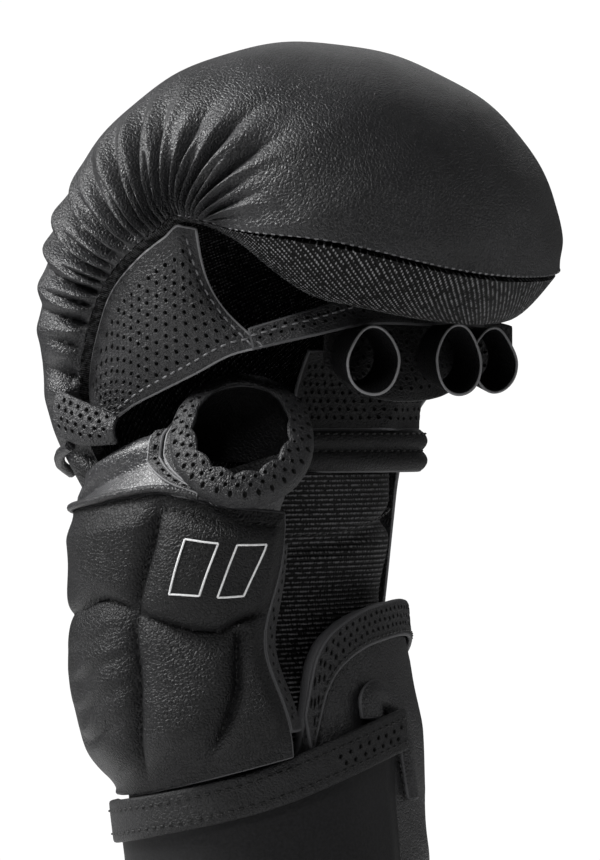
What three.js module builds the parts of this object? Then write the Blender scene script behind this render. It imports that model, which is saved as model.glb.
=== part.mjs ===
// A left-hand sparring glove for mixed martial arts, standing on the rim of its cuff.
// Millimetres. +Z runs up the wrist to the knuckles, +X out of the palm, -Y out of the thumb side.
// Every wall is a surface given by a short table of sections, made into a closed body of real thickness.
import * as THREE from "three";

const RAD = Math.PI / 180;

// The glove is modelled about the wrist's axis, then shifted so that its box stands centred on the origin.
const FRAME_SHIFT = [-9.84, 0.15, 0];

const GAP = 0.4; // clearance between two sewn pieces
const LEATHER = 1.4; // thickness of a single layer of leather
const LINING = 1.6; // thickness of the woven lining

// Padded shell over the back of the hand and the knuckles, from the wrist over the top to the front edge.
// x and z: its outer crest in the middle plane; lean: the crest's outward direction, from +Z towards +X;
// thick: foam and leather at the crest; width: half its width; drop: how far its sides wrap down;
// rim and swell: width and fullness of the turned edge along its sides.
const PAD = [
  { x: -31.5, z: 84.5, lean: -96, thick: 5.5, width: 34, drop: 13, rim: 4, swell: 0.8 },
  { x: -33.5, z: 105, lean: -96, thick: 5.5, width: 36, drop: 14, rim: 4, swell: 0.8 },
  { x: -37, z: 127, lean: -99, thick: 6.5, width: 35, drop: 14, rim: 4, swell: 0.8 },
  { x: -46, z: 152, lean: -98, thick: 11, width: 43.5, drop: 15, rim: 4.5, swell: 1 },
  { x: -49, z: 180, lean: -86, thick: 15, width: 52, drop: 25, rim: 5, swell: 1.2 },
  { x: -45, z: 204, lean: -67, thick: 21, width: 54.5, drop: 31, rim: 5, swell: 1.4 },
  { x: -31, z: 225, lean: -46, thick: 26, width: 56, drop: 34, rim: 5, swell: 1.6 },
  { x: -12, z: 238.5, lean: -25, thick: 29, width: 56, drop: 34.5, rim: 5.5, swell: 2 },
  { x: 10, z: 243.5, lean: -2, thick: 30, width: 56, drop: 33, rim: 7, swell: 3 },
  { x: 32, z: 239.5, lean: 24.5, thick: 31, width: 55, drop: 33.2, rim: 11, swell: 4 },
  { x: 51.5, z: 228.5, lean: 50.5, thick: 30, width: 54, drop: 34.7, rim: 14, swell: 5 },
  { x: 64, z: 212, lean: 74.4, thick: 27, width: 53, drop: 36.5, rim: 15, swell: 5 },
  { x: 68.5, z: 197, lean: 92, thick: 23, width: 52, drop: 37.8, rim: 15, swell: 5 },
  { x: 68, z: 186.5, lean: 104, thick: 20, width: 51, drop: 37.8, rim: 15, swell: 5 },
];
const PAD_WRAP = 108; // degrees that each side wraps round from the crest
const FRONT_SWELL = 12; // fullness of the turned edge across the front
const WRIST_SWELL = 1; // and across the wrist end
const PAD_LAST = PAD.length - 1;

// Gathers in the leather along the side seams. at: row of PAD; wide: half width in rows;
// deep: depth at the seam; reach: share of the wrap that the fold runs up the side.
const GATHERS = [
  { at: 2.6, wide: 0.2, deep: 1.4, reach: 0.3 },
  { at: 3.35, wide: 0.18, deep: 1.8, reach: 0.4 },
  { at: 3.9, wide: 0.16, deep: 2.2, reach: 0.5 },
  { at: 4.4, wide: 0.15, deep: 2.4, reach: 0.55 },
  { at: 4.85, wide: 0.15, deep: 2.4, reach: 0.6 },
  { at: 5.35, wide: 0.16, deep: 2.2, reach: 0.6 },
  { at: 6.05, wide: 0.18, deep: 2.0, reach: 0.5 },
  { at: 6.6, wide: 0.17, deep: 2.4, reach: 0.5 },
  { at: 7.2, wide: 0.18, deep: 2.6, reach: 0.52 },
  { at: 7.8, wide: 0.18, deep: 2.4, reach: 0.5 },
  { at: 8.4, wide: 0.2, deep: 1.8, reach: 0.4 },
];

// The room for the wrist and hand: an oval tube. x: its centre; deep and wide: its half axes along X and Y.
const HAND = [
  { z: 0, x: 0, deep: 27.5, wide: 34.5 },
  { z: 45, x: 0, deep: 27.5, wide: 34.5 },
  { z: 65, x: -2, deep: 27.5, wide: 35.5 },
  { z: 84, x: -3, deep: 24.5, wide: 37 },
  { z: 105, x: -6, deep: 22.5, wide: 39 },
  { z: 130, x: -7.5, deep: 21.5, wide: 41 },
  { z: 165, x: -7.5, deep: 22, wide: 41 },
];

// Cuff. bearing: degrees round from the palm (0) by the little-finger side (90) and the back (180);
// top: height of its upper edge; pad: thickness of its wall there.
const CUFF = [
  { bearing: -180, top: 81.6, pad: 3 },
  { bearing: -150, top: 82, pad: 3 },
  { bearing: -122, top: 82.6, pad: 3 },
  { bearing: -90, top: 76, pad: 3 },
  { bearing: -60, top: 70, pad: 3 },
  { bearing: -32, top: 75, pad: 3 },
  { bearing: -25, top: 85, pad: 3.6 },
  { bearing: -18, top: 95, pad: 4.6 },
  { bearing: -8, top: 101.5, pad: 5.5 },
  { bearing: 10, top: 106, pad: 6 },
  { bearing: 42, top: 107, pad: 6 },
  { bearing: 75, top: 99, pad: 4 },
  { bearing: 100, top: 86.5, pad: 3 },
  { bearing: 122, top: 82.8, pad: 3 },
  { bearing: 150, top: 82, pad: 3 },
  { bearing: 180, top: 81.6, pad: 3 },
];
const CUFF_WALL = 3; // thickness of the cuff below the strap's edge
const CUFF_BINDING = { from: -27, to: 92, deep: 6.6, thick: 1.2, over: 1.6 };

// Wrist strap, wound round the cuff from its end at the palm. bearing as above; top and foot: its edges.
const STRAP = [
  { bearing: -298, top: 76, foot: 16 },
  { bearing: -250, top: 70, foot: 9 },
  { bearing: -200, top: 63, foot: 4 },
  { bearing: -135, top: 62, foot: 3 },
  { bearing: -60, top: 69, foot: 3 },
  { bearing: 0, top: 80, foot: 8 },
  { bearing: 26, top: 83.5, foot: 14 },
];
const STRAP_THICK = 2.6;
const STRAP_BINDING = { from: -150, deep: 8.4, thick: 1.4 };

// Padded loop on the cuff that the strap comes through. bearing and z: its middle line.
const CHANNEL = [
  { bearing: 5, z: 86 },
  { bearing: 11, z: 90 },
  { bearing: 20, z: 91 },
  { bearing: 30, z: 87.5 },
  { bearing: 36, z: 81 },
  { bearing: 39, z: 73 },
  { bearing: 40.5, z: 66 },
];
const CHANNEL_BAND = { wide: 6.4, thick: 2.2 };

// Thumb panel: radius of its inner face about the hand's axis, at six bearings on the thumb side.
const THUMB_BEARINGS = [-157, -140, -115, -90, -65, -44];
const THUMB_PANEL = [
  { z: 66, x: -2, radii: [32.2, 34.2, 37.6, 39.4, 38.4, 36.5] },
  { z: 80, x: -3, radii: [32, 39.4, 43.8, 44.4, 43.2, 40.5] },
  { z: 100, x: -6, radii: [31.5, 38.8, 45.6, 47, 45.5, 41.5] },
  { z: 120, x: -6, radii: [33.2, 38.6, 45.6, 48.5, 48, 42] },
  { z: 137, x: -6, radii: [37.8, 41, 45.8, 49.5, 49.6, 43.2] },
];
// Heights of its lower and upper edges. t: from its back edge (0) to its palm edge (1).
const THUMB_FOOT = [
  { t: 0, z: 64 },
  { t: 0.5, z: 66.5 },
  { t: 1, z: 76 },
];
const THUMB_TOP = [
  { t: 0, z: 129.5 },
  { t: 0.3, z: 131.5 },
  { t: 0.5, z: 133.5 },
  { t: 0.62, z: 135.5 },
  { t: 0.72, z: 136.5 },
  { t: 0.85, z: 133.5 },
  { t: 1, z: 132 },
];
const THUMB_EDGE = { strip: 5, thick: 1.3 }; // perforated strip along its palm edge
const PIPING = 1.3; // radius of the piping along its upper edge

// Sleeve that the thumb goes through, from the thumb panel up to its round opening.
// turn: degrees round the opening, from the palm side (0) by the far side (90) to the back (180).
// x, y, z: its foot inside the hand; panel: where its foot stands on the panel's upper edge instead.
const SLEEVE_INSIDE = [
  { turn: 0, x: 22.6, y: -29.5, z: 132 },
  { turn: 45, x: 15, y: -22.5, z: 142.4 },
  { turn: 90, x: -2, y: -24, z: 144 },
  { turn: 135, x: -14, y: -33, z: 144 },
  { turn: 180, x: -23.5, y: -43, z: 139 },
];
const SLEEVE_PANEL = [
  { turn: 180, panel: 0.3, bulge: 4 },
  { turn: 225, panel: 0.48, bulge: 4 },
  { turn: 270, panel: 0.68, bulge: 1.5 },
  { turn: 315, panel: 0.86, bulge: 0.6 },
  { turn: 360, panel: 1, bulge: 0.2 },
];
const THUMB_HOLE = { at: [18, -36, 149.5], facing: [0.47, -0.6, 0.64], wide: 12, tall: 14, collar: 3 };
const HOLE_BINDING = { thick: 1.2, scallops: 14, wave: 0.8 };

// Free edge of the perforated sheet over the index finger's side, from the thumb's web to its corner.
// row: where the sheet's other edge sits on the padded shell.
const INDEX_GUSSET = [
  { row: 3.1, x: -17, y: -43.5, z: 152.5, bulge: 0.5, bow: 0 },
  { row: 3.7, x: -9.5, y: -43, z: 157, bulge: 1, bow: 0 },
  { row: 4.5, x: -1, y: -42.5, z: 160.5, bulge: 2, bow: 0 },
  { row: 5.4, x: 9.5, y: -42.5, z: 164.5, bulge: 2, bow: 0 },
  { row: 6.8, x: 18.5, y: -41.5, z: 168.5, bulge: 1, bow: 1 },
  { row: 9.5, x: 25.9, y: -38, z: 174.5, bulge: 0, bow: 3.5 },
];
// The same on the little finger's side, down to the cuff.
const OUTER_GUSSET = [
  { row: 0.15, x: -1, y: 41.6, z: 97, bulge: 0.5, bow: 0 },
  { row: 1.2, x: 0, y: 43, z: 112, bulge: 1, bow: 0 },
  { row: 2.2, x: 0, y: 45.8, z: 128, bulge: 1.5, bow: 0 },
  { row: 3.2, x: 2.5, y: 46.6, z: 144, bulge: 2, bow: 0 },
  { row: 4.6, x: 9, y: 46, z: 157, bulge: 2, bow: 0 },
  { row: 6.4, x: 20, y: 45, z: 166, bulge: 2, bow: 0 },
  { row: 8.9, x: 30, y: 43, z: 176, bulge: 0, bow: 4 },
];

const GUSSET_DROP = 1.7; // how far the sheets' sewn edges lie from the shell's rim

// Strip across the roots of the fingers, from the index gusset to the outer gusset.
const FINGER_BAND = [
  { x: 26.6, y: -38, z: 171, tall: 5.5 },
  { x: 33, y: -29, z: 176, tall: 8 },
  { x: 37, y: -14, z: 179.8, tall: 7.6 },
  { x: 38, y: 8, z: 180, tall: 7.6 },
  { x: 37, y: 28, z: 179.8, tall: 7.6 },
  { x: 31.5, y: 41.5, z: 176.5, tall: 8 },
];

// Loops of leather that part the fingers: the middle of each, its size, and the bearing it opens towards.
const FINGER_LOOPS = [
  { x: 37.7, y: -12, z: 167.3, wide: 14.4, tall: 16.4, deep: 13, faces: -32 },
  { x: 46.3, y: 10, z: 167.8, wide: 13.6, tall: 17, deep: 13, faces: -30 },
  { x: 43, y: 31.5, z: 167.6, wide: 14.4, tall: 16.4, deep: 13, faces: -30 },
];
const LOOP_WALL = 1.2;

// Curve of the palm's upper panel, from the thumb side to the little-finger side.
const PALM = [
  { x: 13, y: -11 },
  { x: 15.5, y: -4 },
  { x: 17.5, y: 6 },
  { x: 18.5, y: 18 },
  { x: 17.5, y: 31 },
  { x: 11, y: 40 },
];
const PALM_PANEL = { foot: 151.6, top: 170, thick: 1.5, crease: 1.6 };
const PALM_HEM = { foot: 141.4, top: 151, thick: 1.6, roll: 1.5 };

// Tab over the web between thumb and first finger, and the cord that runs down from it.
const WEB_TAB = [
  { x: -32, y: -45.4, foot: 150.5, top: 159.5 },
  { x: -22, y: -47, foot: 148.5, top: 157.5 },
  { x: -11, y: -46.2, foot: 149.5, top: 156 },
];
const WEB_TAB_THICK = 1.6;
const WEB_CORD = [
  [-25, -46.8, 147.5],
  [-31.3, -43, 145.6],
  [-36.2, -37.4, 143.2],
  [-39.8, -29.4, 141],
];
const WEB_CORD_RADIUS = 1.3;

const cross = (a, b) => [
  a[1] * b[2] - a[2] * b[1],
  a[2] * b[0] - a[0] * b[2],
  a[0] * b[1] - a[1] * b[0],
];
const plus = (a, b, k = 1) => a.map((v, i) => v + b[i] * k);
const mix = (a, b, t) => a.map((v, i) => v + (b[i] - v) * t);
const unit = (a) => {
  const size = Math.hypot(...a) || 1;
  return a.map((v) => v / size);
};
const clamp = (v, low, high) => Math.min(high, Math.max(low, v));
const smooth = (t) => {
  const c = clamp(t, 0, 1);
  return c * c * (3 - 2 * c);
};

// Smooth curve through numbers given at rising keys.
function through(keys, values, at) {
  const last = keys.length - 1;
  const t = clamp(at, keys[0], keys[last]);
  let i = 0;
  while (i < last - 1 && t > keys[i + 1]) i += 1;
  const span = keys[i + 1] - keys[i];
  const slope = (k) => {
    const a = Math.max(k - 1, 0);
    const b = Math.min(k + 1, last);
    return (values[b] - values[a]) / (keys[b] - keys[a]);
  };
  const f = (t - keys[i]) / span;
  const [f2, f3] = [f * f, f * f * f];
  return (
    (2 * f3 - 3 * f2 + 1) * values[i] +
    (f3 - 2 * f2 + f) * span * slope(i) +
    (3 * f2 - 2 * f3) * values[i + 1] +
    (f3 - f2) * span * slope(i + 1)
  );
}
const column = (rows, key, name, at) =>
  through(
    rows.map((r) => r[key]),
    rows.map((r) => r[name]),
    at,
  );

// Even steps from low to high.
const steps = (low, high, count) =>
  Array.from({ length: count + 1 }, (_, i) => low + ((high - low) * i) / count);

// A patch is an open surface: points and the triangles between them.
// at(a, b) gives a point; going along a and then b, the surface's outside is on the side of a cross b.
function patch(as, bs, at, ring = false) {
  const points = as.flatMap((a) => bs.map((b) => at(a, b)));
  const rows = as.length;
  const wide = bs.length;
  const faces = [];
  for (let i = 0; i < (ring ? rows : rows - 1); i += 1)
    for (let j = 0; j < wide - 1; j += 1) {
      const near = i * wide + j;
      const far = ((i + 1) % rows) * wide + j;
      faces.push([near, far, far + 1], [near, far + 1, near + 1]);
    }
  return { points, faces };
}

// The patch's outward direction at each of its points.
function normals({ points, faces }) {
  const sums = points.map(() => [0, 0, 0]);
  for (const f of faces) {
    const [a, b, c] = f.map((i) => points[i]);
    const n = cross(plus(b, a, -1), plus(c, a, -1));
    for (const i of f) sums[i] = plus(sums[i], n);
  }
  return sums.map(unit);
}

// Edges of the patch that only one face has, each in the order of its own face.
function border(faces) {
  const seen = new Map();
  for (const f of faces)
    f.forEach((a, k) => {
      const b = f[(k + 1) % 3];
      const key = a < b ? a + "," + b : b + "," + a;
      seen.set(key, seen.has(key) ? null : [a, b]);
    });
  return [...seen.values()].filter(Boolean);
}

// The closed wall between two offsets from a patch, which may be numbers or one value for each point.
function wall(surface, low, high, out = normals(surface)) {
  const { points, faces } = surface;
  const offset = (by) => points.map((p, i) => plus(p, out[i], Array.isArray(by) ? by[i] : by));
  const count = points.length;
  const rim = border(faces).flatMap(([a, b]) => [
    [b, a, a + count],
    [b, a + count, b + count],
  ]);
  return {
    points: [...offset(high), ...offset(low)],
    faces: [...faces, ...faces.map(([a, b, c]) => [c + count, b + count, a + count]), ...rim],
  };
}

function meshOf(name, { points, faces }, material) {
  const geometry = new THREE.BufferGeometry();
  geometry.setAttribute("position", new THREE.Float32BufferAttribute(points.flat(), 3));
  geometry.setIndex(faces.flat());
  geometry.computeVertexNormals();
  const mesh = new THREE.Mesh(geometry, material);
  mesh.name = name;
  return mesh;
}

const finish = (color, roughness) =>
  new THREE.MeshStandardMaterial({ color, roughness, metalness: 0 });
const MATERIALS = {
  leather: finish(0x1c1c1f, 0.48),
  perforated: finish(0x202022, 0.6),
  woven: finish(0x18181a, 0.8),
  elastic: finish(0x121214, 0.9),
  strap: finish(0x232325, 0.75),
};

// The hand's room at a bearing and height, moved outwards by off.
function handPoint(bearing, z, off = 0) {
  const x = column(HAND, "z", "x", z);
  const deep = column(HAND, "z", "deep", z) + off;
  const wide = column(HAND, "z", "wide", z) + off;
  return [x + deep * Math.cos(bearing * RAD), wide * Math.sin(bearing * RAD), z];
}

// Values of the padded shell's table at row s.
function padRow(s) {
  const keys = PAD.map((_, i) => i);
  const value = (name) => through(keys, PAD.map((r) => r[name]), s);
  const lean = value("lean") * RAD;
  return {
    crest: [value("x"), 0, value("z")],
    out: [Math.sin(lean), 0, Math.cos(lean)],
    thick: value("thick"),
    width: value("width"),
    drop: value("drop"),
    rim: value("rim"),
    swell: value("swell"),
  };
}

// Depth of the gathers at row s and side v, from -1 at the thumb side's seam to 1 at the other.
// Each fold is deepest near the seam and is drawn nearly flat by the stitches in it.
function gatherDepth(s, v) {
  const side = Math.abs(v);
  const sewn = 1 - 0.75 * smooth((side - 0.9) / 0.1);
  return GATHERS.reduce((sum, g) => {
    const near = (s - g.at) / g.wide;
    const run = smooth((side - (1 - g.reach)) / g.reach);
    return sum + g.deep * Math.exp(-near * near) * run * sewn;
  }, 0);
}

function padOuter(s, v, gathered = true) {
  const row = padRow(s);
  const turn = v * PAD_WRAP * RAD;
  const down = row.drop * (1 - Math.cos(turn));
  const p = plus(row.crest, row.out, -down);
  p[1] = row.width * Math.sin(turn);
  const away = unit([row.out[0] * Math.cos(turn), Math.sin(turn), row.out[2] * Math.cos(turn)]);
  return plus(p, away, gathered ? -gatherDepth(s, v) : 0);
}

function padInner(s, v) {
  const row = padRow(s);
  const edge = PAD_WRAP * RAD;
  const fall = row.drop * (1 - Math.cos(edge)) - row.thick;
  const turn = v * 90 * RAD;
  const p = plus(row.crest, row.out, -row.thick - fall * (1 - Math.cos(turn)));
  p[1] = (row.width * Math.sin(edge) - row.rim) * Math.sin(turn);
  return p;
}

// The rows and sides of the shell's edge, once round: up the thumb side, across the front, and back down.
function edgeRound(rows, sides) {
  const last = rows.length - 1;
  return [
    ...rows.slice(0, last).map((s) => [s, -1]),
    ...sides.slice(0, -1).map((v) => [rows[last], v]),
    ...rows.slice(1).reverse().map((s) => [s, 1]),
    ...sides.slice(1).reverse().map((v) => [rows[0], v]),
  ];
}

// Direction in which the shell's sides end at row s: towards the palm, and down under the knuckles.
function belowEdge(s) {
  const { out } = padRow(s);
  return unit(mix(plus([0, 0, 0], out, -1), [-0.2, 0, -1], smooth((s - 7) / 3)));
}

// A point of the shell's turned edge, t of the way from the leather to the lining, swollen outwards.
function padEdge(s, v, t) {
  const [o, i] = [padOuter(s, v, false), padInner(s, v)];
  const row = padRow(s);
  const ahead = [row.out[2], 0, -row.out[0]];
  const atEnd = s >= PAD_LAST ? 1 : s <= 0 ? -1 : 0;
  const atSide = Math.abs(v) >= 1 ? 1 : 0;
  const away = unit(plus(plus([0, 0, 0], ahead, atEnd), belowEdge(s), atSide));
  const end = atEnd > 0 ? FRONT_SWELL : WRIST_SWELL;
  const swell = atSide ? row.swell : end;
  return plus(mix(o, i, t), away, swell * Math.sin(t * Math.PI) ** 0.8);
}

const EDGE_STEPS = [0.12, 0.3, 0.54, 0.8];
const COARSE_ROWS = [...steps(0, 9, 13), 10, 11.4, PAD_LAST];
const COARSE_SIDES = steps(-1, 1, 10);
const FINE_ROWS = [
  ...steps(0, 2.2, 3),
  ...steps(2.2, 8.8, 36).slice(1),
  ...steps(8.8, PAD_LAST, 7).slice(1),
];
const FINE_SIDES = [-1, -0.89, -0.72, -0.5, -0.25, 0, 0.25, 0.5, 0.72, 0.89, 1];

// Lining side of the shell: its inner face and swollen edge, as one open patch that faces the hand.
function liningPatch() {
  const inner = patch(COARSE_ROWS, COARSE_SIDES, padInner);
  const loop = edgeRound(COARSE_ROWS, COARSE_SIDES);
  const wide = COARSE_SIDES.length;
  const corner = ([s, v]) => COARSE_ROWS.indexOf(s) * wide + COARSE_SIDES.indexOf(v);
  const points = [...inner.points];
  const faces = inner.faces.map(([a, b, c]) => [c, b, a]);
  let last = loop.map(corner);
  for (const t of [...EDGE_STEPS].reverse()) {
    const next = loop.map((at) => points.push(padEdge(...at, t)) - 1);
    loop.forEach((_, k) => {
      const n = (k + 1) % loop.length;
      faces.push([last[k], last[n], next[n]], [last[k], next[n], next[k]]);
    });
    last = next;
  }
  return { points, faces, edge: last, loop };
}

// Joins two open edges with triangles, walking both round together. Each has its points' indices and
// how far round each lies; the outer edge runs with its own faces, the inner one against them.
function zip(outer, inner, whole) {
  const far = (ring, k) => (k >= ring.length ? whole : ring[k].far);
  const index = (ring, k) => ring[k % ring.length].index;
  const faces = [];
  let [i, j] = [0, 0];
  while (i < outer.length || j < inner.length) {
    const [o, n] = [index(outer, i), index(inner, j)];
    if (i < outer.length && (j >= inner.length || far(outer, i + 1) <= far(inner, j + 1))) {
      faces.push([index(outer, i + 1), o, n]);
      i += 1;
    } else {
      faces.push([n, index(inner, j + 1), o]);
      j += 1;
    }
  }
  return faces;
}

// The padding fills the space behind the lining, and the leather covers it to the seam.
function knucklePad() {
  const outer = patch(FINE_ROWS, FINE_SIDES, padOuter);
  const inside = liningPatch();
  const out = normals(inside);
  const count = outer.points.length;
  // How far round the edge a place lies, so that both edges can be walked together.
  const along = ([s, v]) => {
    if (v <= -1 && s < PAD_LAST) return s;
    if (s >= PAD_LAST && v < 1) return PAD_LAST + (v + 1);
    if (v >= 1 && s > 0) return 2 * PAD_LAST + 2 - s;
    return 2 * PAD_LAST + 2 + (1 - v);
  };
  const outerRing = edgeRound(FINE_ROWS, FINE_SIDES).map((at) => ({
    index: FINE_ROWS.indexOf(at[0]) * FINE_SIDES.length + FINE_SIDES.indexOf(at[1]),
    far: along(at),
  }));
  const innerRing = inside.loop.map((at, k) => ({ index: inside.edge[k] + count, far: along(at) }));
  return {
    points: [...outer.points, ...inside.points.map((p, i) => plus(p, out[i], -LINING - GAP))],
    faces: [
      ...outer.faces,
      ...zip(outerRing, innerRing, 2 * PAD_LAST + 4),
      ...inside.faces.map((f) => f.map((i) => i + count)),
    ],
  };
}

function padLining() {
  const inside = liningPatch();
  return wall(inside, -LINING, 0);
}

// Thickness of the cuff's wall at a bearing and height: padded towards its upper edge at the palm.
function cuffThick(bearing, z) {
  const full = column(CUFF, "bearing", "pad", bearing);
  return CUFF_WALL + (full - CUFF_WALL) * smooth((z - 60) / 26);
}
const strapEdge = (name, b) => column(STRAP, "bearing", name, b);
const cuffTop = (bearing) => column(CUFF, "bearing", "top", wrapped(bearing));
const wrapped = (bearing) => ((((bearing + 180) % 360) + 360) % 360) - 180;

// A band that lies on the cuff: its patch on the hand's room, and the height of the cuff under each point.
function bandOnCuff(bearings, heights, z, thick, lift = 0) {
  const surface = patch(bearings, heights, (b, t) => handPoint(b, z(b, t)));
  const low = bearings.flatMap((b) =>
    heights.map((t) => cuffThick(wrapped(b), z(b, t)) + GAP + lift),
  );
  return wall(surface, low, low.map((v) => v + thick));
}

// Bearings of the cuff's columns, closer where its upper edge climbs.
const CUFF_ROUND = [...steps(-180, -36, 14), ...steps(-30, -12, 6), ...steps(-6, 170, 22)];

function cuff() {
  const round = CUFF_ROUND;
  const up = [0, 0.35, 0.58, 0.74, 0.88, 1];
  const surface = patch(round, up, (b, t) => handPoint(b, t * cuffTop(b)), true);
  const thick = round.flatMap((b) => up.map((t) => cuffThick(b, t * cuffTop(b))));
  const body = wall(surface, 0, thick);
  // The rim that the glove stands on is flat.
  for (const p of body.points) if (Math.abs(p[2]) < 0.1) p[2] = 0;
  return body;
}

function cuffBinding() {
  const { from, to, deep, thick, over } = CUFF_BINDING;
  const z = (b, t) => {
    const foot = Math.max(cuffTop(b) - deep, strapEdge("top", Math.min(b, 26)) + 1.4);
    return foot + (cuffTop(b) + over - foot) * t;
  };
  const round = CUFF_ROUND.filter((b) => b >= from && b <= to);
  return bandOnCuff(round, [0, 0.35, 0.7, 1], z, thick);
}

function wristStrap() {
  const z = (b, t) => strapEdge("foot", b) + (strapEdge("top", b) - strapEdge("foot", b)) * t;
  return bandOnCuff(steps(-298, 26, 32), steps(0, 1, 4), z, STRAP_THICK);
}

function strapBinding() {
  const { from, deep, thick } = STRAP_BINDING;
  const z = (b, t) => strapEdge("top", b) + 0.8 - deep + deep * t;
  return bandOnCuff(steps(from, 26, 20), steps(0, 1, 2), z, thick, STRAP_THICK + GAP);
}

function cuffChannel() {
  const keys = CHANNEL.map((_, i) => i);
  const line = (u) => [
    through(keys, CHANNEL.map((r) => r.bearing), u),
    through(keys, CHANNEL.map((r) => r.z), u),
  ];
  const along = steps(0, CHANNEL.length - 1, 11);
  const across = steps(-1, 1, 4);
  const place = (u, t) => {
    const [b, z] = line(u);
    const [b0, z0] = line(Math.max(u - 0.1, 0));
    const [b1, z1] = line(Math.min(u + 0.1, CHANNEL.length - 1));
    const perDegree = 0.6;
    const run = Math.hypot((b1 - b0) * perDegree, z1 - z0);
    const side = (CHANNEL_BAND.wide / 2) * t;
    return [b + (side * (z1 - z0)) / run / perDegree, z - (side * (b1 - b0) * perDegree) / run];
  };
  const surface = patch(along, across, (u, t) => handPoint(...place(u, -t)));
  const low = along.flatMap((u) => across.map((t) => cuffThick(...place(u, -t)) + GAP + 0.2));
  const round = along.flatMap(() => across.map((t) => 0.8 + (CHANNEL_BAND.thick - 0.8) * (1 - t * t)));
  return wall(surface, low, low.map((v, i) => v + round[i]));
}

// Thumb panel point: t runs from its back edge to its palm edge, up from its foot to its top.
function thumbPoint(t, up) {
  const [foot, top] = [column(THUMB_FOOT, "t", "z", t), column(THUMB_TOP, "t", "z", t)];
  const z = foot + (top - foot) * up;
  const bearing = THUMB_BEARINGS[0] + (THUMB_BEARINGS[5] - THUMB_BEARINGS[0]) * t;
  const keys = THUMB_PANEL.map((r) => r.z);
  const radii = THUMB_BEARINGS.map((_, k) => through(keys, THUMB_PANEL.map((r) => r.radii[k]), z));
  const r = through(THUMB_BEARINGS, radii, bearing);
  const x = column(THUMB_PANEL, "z", "x", z);
  return [x + r * Math.cos(bearing * RAD), r * Math.sin(bearing * RAD), z];
}

// Padding of the thumb panel: soft cells between quilted lines, thin at the edges.
const QUILT = { full: 5.4, seam: 3, edge: 2.2, level: 0.58, back: 0.3, front: 0.84 };
function quiltThick(t, up) {
  const lower = smooth((QUILT.level - up) / 0.1);
  const back = Math.abs(t - QUILT.back) / 0.09;
  const front = Math.abs(t - QUILT.front + 0.12 * (1 - up)) / 0.09 + (1 - lower) * 4;
  const level = Math.abs(up - QUILT.level) / 0.11;
  const cell = smooth(Math.min(back, front, level));
  const rim = smooth(Math.min(t, 1 - t, up, 1 - up) / 0.1);
  return QUILT.edge + rim * (QUILT.seam - QUILT.edge + (QUILT.full - QUILT.seam) * cell);
}

function thumbPanel() {
  const ts = steps(0, 1, 18);
  const ups = steps(0, 1, 12);
  return wall(
    patch(ts, ups, thumbPoint),
    0,
    ts.flatMap((t) => ups.map((up) => quiltThick(t, up))),
  );
}

// Perforated strip sewn along the thumb panel's palm edge, narrow at its ends.
function thumbEdgeStrip() {
  const ups = steps(0.1, 0.86, 12);
  const surface = patch(steps(0, 1, 2), ups, (k, up) => {
    const [x, y, z] = thumbPoint(1, up);
    const wide = THUMB_EDGE.strip * (0.35 + 0.65 * smooth((0.86 - up) / 0.3));
    const inward = unit([-0.25, 1, 0]);
    return plus([x, y, z], inward, GAP + wide * k);
  });
  return wall(surface, 0, THUMB_EDGE.thick);
}

// A round cord along points, with flat ends.
function cordAlong(points, radius, sides = 6) {
  const rings = points.map((p, i) => {
    const ahead = unit(plus(points[Math.min(i + 1, points.length - 1)], points[Math.max(i - 1, 0)], -1));
    const a = unit(cross(ahead, [0.01, 0.02, 1]));
    const b = cross(ahead, a);
    return steps(0, 360, sides)
      .slice(0, -1)
      .map((d) => plus(plus(p, a, radius * Math.cos(d * RAD)), b, radius * Math.sin(d * RAD)));
  });
  const faces = [];
  for (let i = 0; i < points.length - 1; i += 1)
    for (let k = 0; k < sides; k += 1) {
      const [a, b] = [i * sides + k, i * sides + ((k + 1) % sides)];
      faces.push([a, b, b + sides], [a, b + sides, a + sides]);
    }
  const end = (points.length - 1) * sides;
  for (let k = 1; k < sides - 1; k += 1) faces.push([0, k + 1, k], [end, end + k, end + k + 1]);
  return { points: rings.flat(), faces };
}

function thumbPiping() {
  const line = steps(0.06, 0.8, 20).map((t) => {
    const [x, y, z] = thumbPoint(t, 1);
    const out = unit([x + 6, y, 0]);
    return plus([x, y, z + PIPING], out, QUILT.edge + PIPING + GAP + 0.4);
  });
  return cordAlong(line, PIPING);
}

// Frame of the thumb's opening: level and climbing directions in its plane.
const HOLE_FACING = unit(THUMB_HOLE.facing);
const HOLE_LEVEL = unit(cross([0, 0, 1], HOLE_FACING));
const HOLE_CLIMB = cross(HOLE_FACING, HOLE_LEVEL);
function holePoint(turn, grow = 0, out = 0) {
  const wide = (THUMB_HOLE.wide + grow) * Math.cos(turn * RAD);
  const tall = (THUMB_HOLE.tall + grow) * Math.sin(turn * RAD);
  const p = plus(plus(THUMB_HOLE.at, HOLE_LEVEL, wide), HOLE_CLIMB, tall);
  return plus(p, HOLE_FACING, out);
}

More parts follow.
